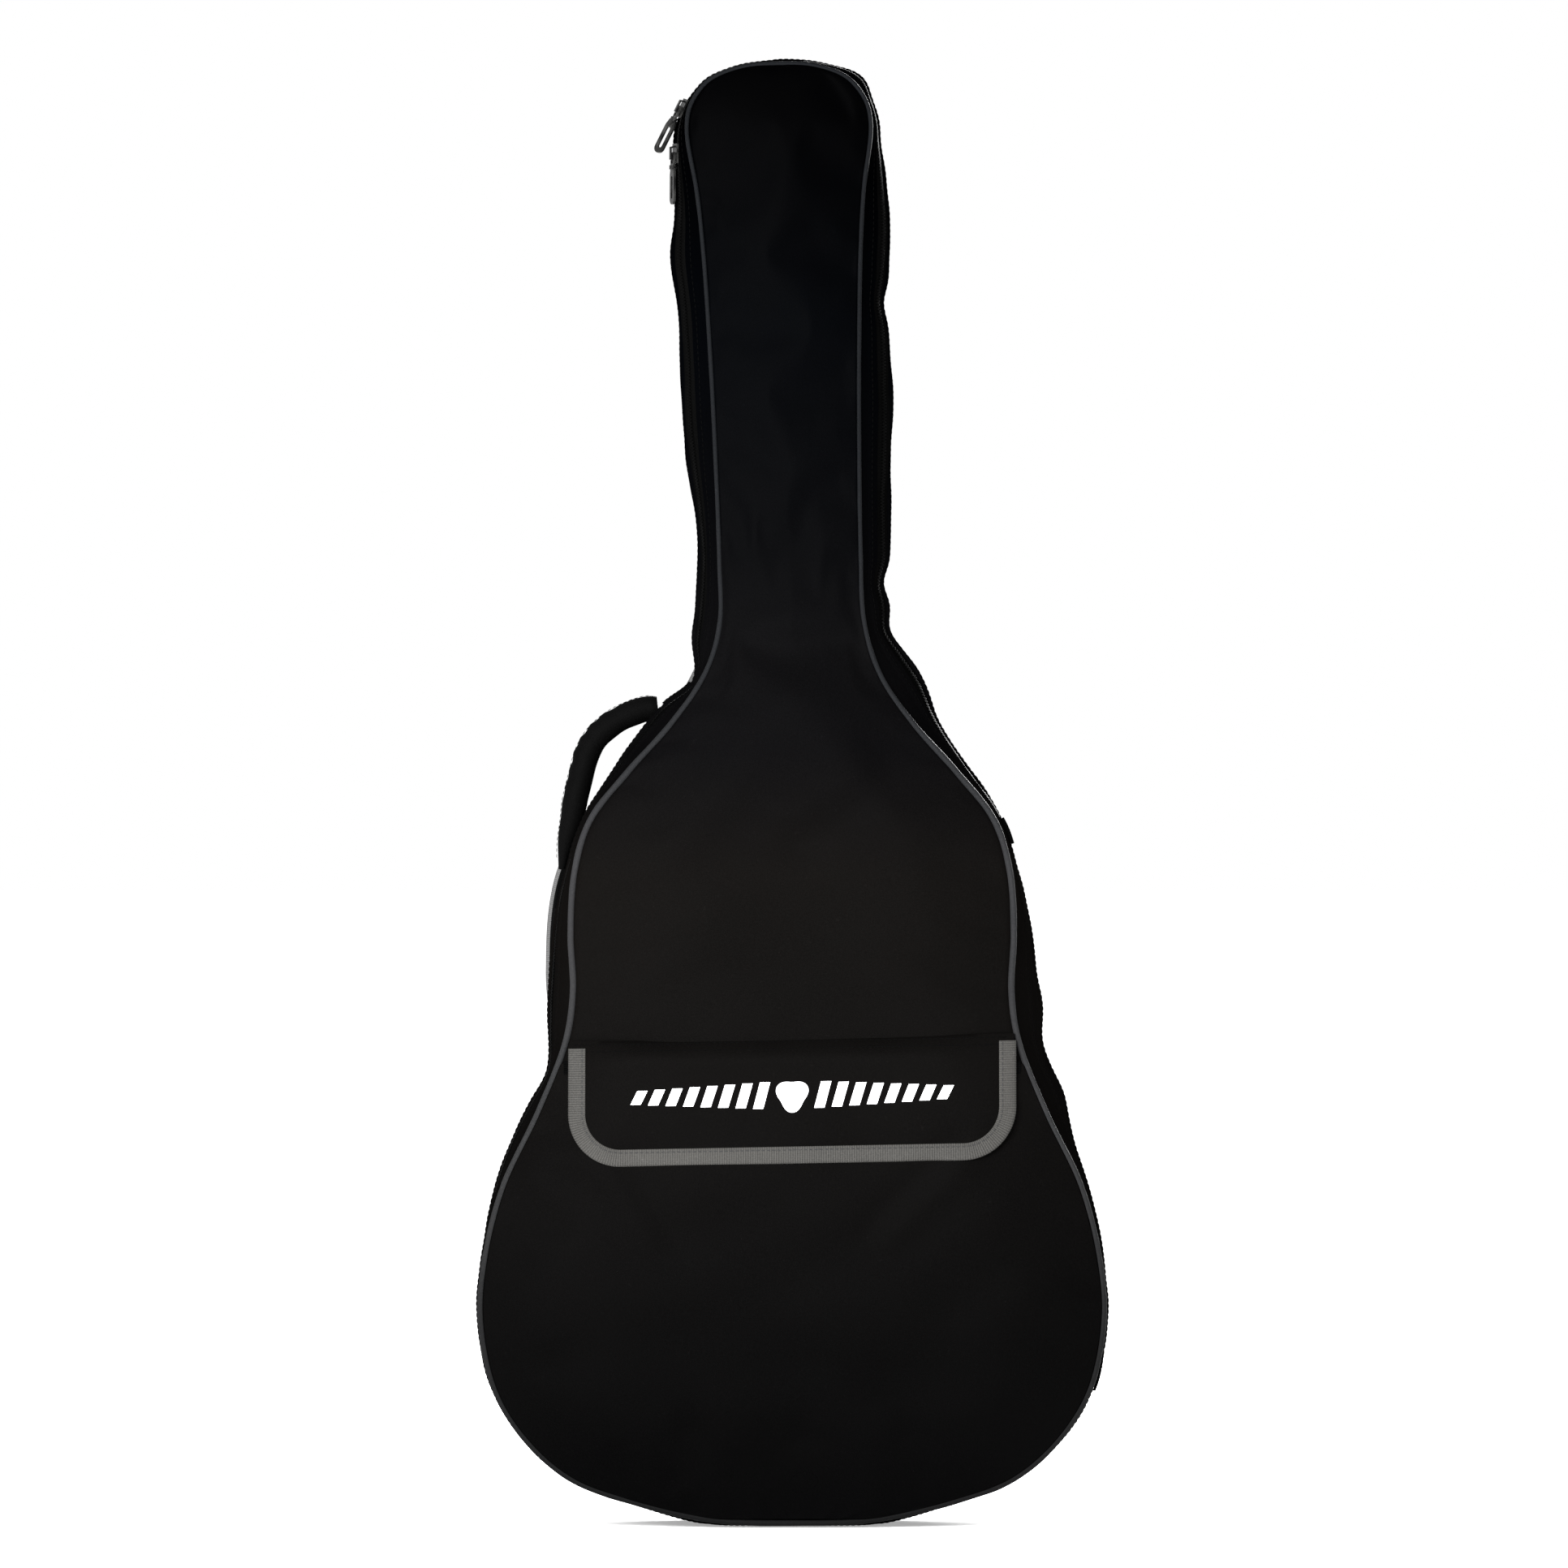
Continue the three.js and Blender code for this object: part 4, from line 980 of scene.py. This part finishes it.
def add_webbing(name, sign, line, tangent):
    """The webbing from the strap's buckle down to the back panel, and the two sewn patches."""
    end, down = line[-1], tangent[-1]
    foot = np.array([sign * STRAP_FOOT[0], STRAP_FOOT[1], STRAP_FOOT[2]], float)
    start = end + down * 20
    middle = (start + foot) / 2 + np.array([sign * 6, 3, 0])
    points = [start, middle, foot, foot + (-sign * 2, -1.4, -22)]
    web = build(f"strap_webbing_{name}_belt", belt(points, 90, 0.9, rounded=0.3, wave=0.5))
    dress(web, "webbing", "base", ["strap_webbing_" + name])
    link = build(f"strap_link_{name}_belt", belt([end - down * 6, end + down * 7, end + down * 13], 20, 1.0))
    dress(link, "webbing", "base")
    top = line[0]
    anchors = [
        ("lower", sign * STRAP_FOOT[0], STRAP_FOOT[2] - 14, 34, 26),
        ("upper", sign * 30, top[2] + 16, 42, 24),
    ]
    for level, x, z, width, height in anchors:
        patch = surface_patch(x, z, width, height, back_face, (-1, 3.2))
        cloth = build(f"strap_anchor_{level}_{name}_webbing", patch)
        dress(cloth, "webbing", "base", [f"strap_anchor_{level}_{name}"])
        box = box_stitches(x, z, width - 6, height - 6)
        sew(f"strap_anchor_{level}_{name}_stitches", "webbing", "base", *box)


def box_stitches(x, z, width, height):
    """A box with crossed diagonals, sewn through a patch on the back panel."""
    a, b = (x - width / 2, z - height / 2), (x + width / 2, z + height / 2)
    c, d = (b[0], a[1]), (a[0], b[1])
    runs = []
    for start, end in ((a, c), (c, b), (b, d), (d, a), (a, b), (c, d)):
        px, pz = np.linspace(start[0], end[0], 20), np.linspace(start[1], end[1], 20)
        line = placed(px, back_face(px, pz) + 3.3, pz)
        runs.append(stitch_run(line, (0, 1, 0), pitch=3.2, length=2.3))
    return runs


# ---------------- materials


class Nodes:
    """A material's node tree with short ways to add and join nodes."""

    def __init__(self, name):
        self.material = bpy.data.materials.new(name)
        self.material.use_nodes = True
        self.tree = self.material.node_tree
        self.shader = self.tree.nodes["Principled BSDF"]
        self.place = self.add("TexCoord").outputs["Object"]

    def add(self, kind, options=None, **inputs):
        node = self.tree.nodes.new("ShaderNode" + kind)
        for key, value in (options or {}).items():
            setattr(node, key, value)
        for key, value in inputs.items():
            self.join(value, node.inputs[key.replace("_", " ")])
        return node

    def join(self, value, socket):
        if isinstance(value, bpy.types.NodeSocket):
            self.tree.links.new(value, socket)
        else:
            socket.default_value = value

    def surface(self, **inputs):
        """Sets the shader's inputs, each named with _ for its spaces."""
        for key, value in inputs.items():
            self.join(value, self.shader.inputs[key.replace("_", " ")])

    def relief(self, height, strength, distance):
        bump = self.add("Bump", Height=height, Strength=strength, Distance=distance)
        self.surface(Normal=bump.outputs["Normal"])

    def noise(self, scale, detail):
        return self.add("TexNoise", Vector=self.place, Scale=scale, Detail=detail).outputs["Fac"]

    def math(self, operation, a, b=0.0):
        node = self.tree.nodes.new("ShaderNodeMath")
        node.operation = operation
        self.join(a, node.inputs[0])
        self.join(b, node.inputs[1])
        return node.outputs[0]

    def ramp(self, value, start, end, low, high):
        node = self.add("MapRange", {"interpolation_type": "SMOOTHSTEP"})
        for key, number in (("From Min", start), ("From Max", end), ("To Min", low), ("To Max", high)):
            node.inputs[key].default_value = number
        self.join(value, node.inputs["Value"])
        return node.outputs["Result"]

    def mix(self, share, a, b, blend="MIX"):
        node = self.add("Mix", {"data_type": "RGBA", "blend_type": blend})
        for key, value in (("Factor_Float", share), ("A_Color", a), ("B_Color", b)):
            self.join(value, next(s for s in node.inputs if s.identifier == key))
        return next(s for s in node.outputs if s.identifier == "Result_Color")


BAG_HEIGHT = 1.06
# Painted light and shade on the black cloth, up the bag: palest and brownest at the body, darker and
# blue-black towards the top.
CLOTH_PAINTED_SHADE = [
    (0.0, (0.34, 0.33, 0.35)),
    (0.12, (0.42, 0.4, 0.4)),
    (0.2, (0.6, 0.56, 0.55)),
    (0.32, (0.8, 0.73, 0.69)),
    (0.47, (0.9, 0.8, 0.73)),
    (0.56, (0.55, 0.52, 0.58)),
    (0.63, (0.62, 0.6, 0.66)),
    (0.7, (0.34, 0.35, 0.42)),
    (0.87, (0.15, 0.19, 0.28)),
    (1.02, (0.05, 0.05, 0.08)),
]
# Painted light and shade on the grey piping, up the bag: palest at the body, darker towards the bottom and
# the top.
PIPING_PAINTED_SHADE = [
    (0.0, (0.2, 0.2, 0.2)),
    (0.14, (0.35, 0.35, 0.35)),
    (0.28, (0.85, 0.85, 0.85)),
    (0.48, (0.85, 0.85, 0.87)),
    (0.62, (0.4, 0.42, 0.45)),
    (0.8, (0.25, 0.27, 0.3)),
]


def rgb(red, green, blue):
    return (red, green, blue, 1.0)


def bands(nodes, vector, direction, pitch):
    """Waves across one direction, with a pitch in metres."""
    wave = nodes.add("TexWave", {"wave_type": "BANDS", "bands_direction": direction}, Vector=vector)
    wave.inputs["Scale"].default_value = math.pi / 10 / pitch
    wave.inputs["Distortion"].default_value = 0.0
    return wave.outputs["Fac"]


def with_painted_shade(nodes, base, painted_shade):
    """The colour multiplied by painted light and shade up the bag: a list of heights in metres and shades."""
    height = nodes.add("SeparateXYZ", Vector=nodes.place).outputs["Z"]
    ramp = nodes.add("ValToRGB", Fac=nodes.math("DIVIDE", height, BAG_HEIGHT))
    elements = ramp.color_ramp.elements
    while len(elements) < len(painted_shade):
        elements.new(0.5)
    for element, (z, shade) in zip(elements, painted_shade):
        element.position = z / BAG_HEIGHT
        element.color = rgb(*shade)
    return nodes.mix(1.0, base, ramp.outputs["Color"], "MULTIPLY")


def woven(name, colours, pitch, rough, specular, relief=0.3, rib=False, painted_shade=None):
    """Woven cloth: threads or ribs in relief, slow changes between two colours, and lint."""
    nodes = Nodes(name)
    colour, other = colours
    uv = nodes.add("UVMap", {"uv_map": "UVMap"}).outputs["UV"]
    across, along = bands(nodes, uv, "X", pitch), bands(nodes, uv, "Y", pitch)
    if rib:
        threads = nodes.math("ADD", nodes.math("MULTIPLY", along, 0.85), nodes.math("MULTIPLY", across, 0.15))
    else:
        over, under = nodes.math("SUBTRACT", across, 0.5), nodes.math("SUBTRACT", along, 0.5)
        checks = nodes.math("MULTIPLY", over, under)
        threads = nodes.math("ADD", nodes.math("MULTIPLY", checks, 2.0), 0.5)
    slow, fine, lint = nodes.noise(7.0, 3.0), nodes.noise(900.0, 2.0), nodes.noise(260.0, 1.0)
    base = nodes.mix(nodes.ramp(slow, 0.35, 0.65, 0.0, 1.0), rgb(*colour), rgb(*other))
    shade = nodes.math("ADD", nodes.math("MULTIPLY", threads, 0.35), nodes.math("MULTIPLY", fine, 0.5))
    base = nodes.mix(nodes.ramp(shade, 0.15, 0.75, 0.0, 0.75), base, rgb(*(c * 1.9 for c in other)))
    base = nodes.mix(nodes.ramp(lint, 0.74, 0.78, 0.0, 0.2), base, rgb(*(c * 3 for c in other)))
    # painted light and shade up the bag, where a list of shades is given
    if painted_shade:
        base = with_painted_shade(nodes, base, painted_shade)
    roughness = nodes.ramp(slow, 0.3, 0.7, rough - 0.06, rough + 0.06)
    nodes.surface(Base_Color=base, Roughness=roughness, Specular_IOR_Level=specular)
    nodes.relief(nodes.math("ADD", threads, nodes.math("MULTIPLY", fine, 0.4)), relief, pitch * 0.35)
    return nodes.material


def hard(name, colour, worn, rough, metallic, specular):
    """Moulded or painted hard parts: a fine grain, uneven gloss and pale worn edges."""
    nodes = Nodes(name)
    patches = nodes.noise(120.0, 4.0)
    edges = nodes.add("NewGeometry").outputs["Pointiness"]
    rubbed = nodes.ramp(edges, 0.52, 0.6, 0.0, 1.0)
    wear = nodes.math("MULTIPLY", rubbed, nodes.ramp(patches, 0.35, 0.7, 0.1, 0.8))
    roughness = nodes.ramp(patches, 0.3, 0.7, rough - 0.07, rough + 0.1)
    nodes.surface(Base_Color=nodes.mix(wear, rgb(*colour), rgb(*worn)), Roughness=roughness)
    nodes.surface(Metallic=metallic, Specular_IOR_Level=specular)
    nodes.relief(nodes.noise(1400.0, 3.0), 0.12, 0.0001)
    return nodes.material


def pile():
    """Hook-and-loop patches: a short rough pile."""
    nodes = Nodes("pile")
    tufts = nodes.add("TexVoronoi", Vector=nodes.place, Scale=900.0).outputs["Distance"]
    share = nodes.math("MULTIPLY", nodes.ramp(tufts, 0.0, 0.7, 1.0, 0.0), nodes.noise(60.0, 3.0))
    base = nodes.mix(share, rgb(0.004, 0.004, 0.004), rgb(0.03, 0.03, 0.031))
    nodes.surface(Base_Color=base, Roughness=0.9, Specular_IOR_Level=0.15)
    nodes.relief(tufts, 0.7, 0.0006)
    return nodes.material


def printed():
    """White print on cloth: the threads show through, and it is slightly rubbed."""
    nodes = Nodes("print")
    uv = nodes.add("UVMap", {"uv_map": "UVMap"}).outputs["UV"]
    threads = nodes.math("MULTIPLY", bands(nodes, uv, "X", 0.0009), bands(nodes, uv, "Y", 0.0009))
    rub = nodes.ramp(nodes.noise(300.0, 4.0), 0.66, 0.74, 0.0, 0.5)
    base = nodes.mix(rub, rgb(0.86, 0.86, 0.87), rgb(0.42, 0.42, 0.43))
    nodes.surface(Base_Color=base, Roughness=0.55)
    nodes.relief(threads, 0.25, 0.0003)
    return nodes.material


def all_materials():
    black = (0.0014, 0.0014, 0.0014), (0.002, 0.002, 0.002)
    piping = (0.011, 0.0115, 0.012), (0.016, 0.016, 0.0165)
    grey = (0.026, 0.0255, 0.0242), (0.034, 0.033, 0.031)
    pale = (0.05, 0.05, 0.05), (0.065, 0.065, 0.065)
    web = (0.0007, 0.0007, 0.0007), (0.0012, 0.0012, 0.0012)
    lining = (0.007, 0.007, 0.0075), (0.01, 0.01, 0.0105)
    return {
        # The black cloth, the gusset cloth and the grey piping carry painted light and shade up the bag.
        "shell": woven("shell_nylon", black, 0.0009, 0.5, 0.005, relief=0.25, painted_shade=CLOTH_PAINTED_SHADE),
        "side_cloth": woven("gusset_nylon", black, 0.0009, 0.7, 0.0, relief=0.25, painted_shade=CLOTH_PAINTED_SHADE),
        "strap_cloth": woven("strap_nylon", web, 0.0009, 0.55, 0.012, relief=0.3),
        "dark_piping": woven("dark_piping", web, 0.0007, 0.6, 0.012, relief=0.3),
        "piping": woven("grey_piping", piping, 0.0008, 0.6, 0.02, relief=0.35, painted_shade=PIPING_PAINTED_SHADE),
        "binding": woven("grey_grosgrain", grey, 0.0017, 0.75, 0.02, relief=0.8, rib=True),
        "pale_binding": woven("strap_binding", pale, 0.0014, 0.75, 0.02, relief=0.6, rib=True),
        "lining": woven("lining_nylon", lining, 0.0006, 0.5, 0.03, relief=0.2),
        "webbing": woven("webbing", web, 0.0016, 0.7, 0.0, relief=0.7, rib=True),
        "webbing_fine": woven("handle_cloth", web, 0.0011, 0.62, 0.012, relief=0.4),
        "tape": woven("zip_tape", web, 0.0008, 0.8, 0.0, rib=True),
        "thread": woven("thread", web, 0.0004, 0.6, 0.0, relief=0.2),
        "grey_thread": woven("grey_thread", piping, 0.0004, 0.6, 0.02, relief=0.2),
        "nylon": hard("coil_nylon", (0.0006, 0.0006, 0.0006), (0.0015, 0.0015, 0.0015), 0.6, 0.0, 0.008),
        "plastic": hard("moulded_plastic", (0.0015, 0.0015, 0.0015), (0.005, 0.005, 0.005), 0.42, 0.0, 0.12),
        "metal": hard("black_metal", (0.003, 0.003, 0.0031), (0.05, 0.05, 0.048), 0.36, 0.6, 0.2),
        "pile": pile(),
        "print": printed(),
    }


# ---------------- floor, light and camera

FRAME_WIDTH = 1.1333  # what the picture spans at the bag
CAMERA_DISTANCE = 10.0
PICTURE_CENTRE = (-0.0059, 0.5362)


def add_floor():
    nodes = Nodes("floor")
    base = nodes.mix(nodes.noise(3.0, 4.0), rgb(0.93, 0.93, 0.93), rgb(0.96, 0.96, 0.96))
    nodes.surface(Base_Color=base, Roughness=0.9, Specular_IOR_Level=0.0)
    nodes.surface(Emission_Color=rgb(1, 1, 1), Emission_Strength=0.35)
    bpy.ops.mesh.primitive_circle_add(vertices=96, radius=60, fill_type="NGON", location=(0, 0, 0))
    floor = bpy.context.object
    floor.name = "floor"
    floor.data.materials.append(nodes.material)


def add_light(name, location, aim, size, power):
    data = bpy.data.lights.new(name, "AREA")
    data.shape = "SQUARE"
    data.size = size
    data.energy = power
    light = bpy.data.objects.new(name, data)
    light.location = location
    light.rotation_mode = "QUATERNION"
    light.rotation_quaternion = (Vector(aim) - Vector(location)).to_track_quat("-Z", "Y")
    light.visible_camera = False
    bpy.context.scene.collection.objects.link(light)


def add_world():
    world = bpy.data.worlds.new("studio")
    world.use_nodes = True
    world.node_tree.nodes["Background"].inputs["Color"].default_value = rgb(1, 1, 1)
    world.node_tree.nodes["Background"].inputs["Strength"].default_value = 1.0
    bpy.context.scene.world = world
    bpy.context.scene.view_settings.view_transform = "Standard"


def add_camera():
    data = bpy.data.cameras.new("camera")
    data.sensor_width = 36
    data.lens = data.sensor_width * CAMERA_DISTANCE / FRAME_WIDTH
    camera = bpy.data.objects.new("camera", data)
    camera.location = (PICTURE_CENTRE[0], -CAMERA_DISTANCE - 0.03, PICTURE_CENTRE[1])
    camera.rotation_euler = (math.pi / 2, 0, 0)
    bpy.context.scene.collection.objects.link(camera)
    bpy.context.scene.camera = camera


MATERIALS = all_materials()
add_shells()
add_hinge()
add_zip()
add_hardware()
add_pocket()
add_flap()
add_handle()
add_straps()
add_floor()
add_light("key", (-0.6, -1.8, 0.85), (0, 0, 0.42), 0.8, 92)
add_light("back", (0.7, 2.6, 1.3), (0, 0, 0.45), 1.2, 260)
add_world()
add_camera()
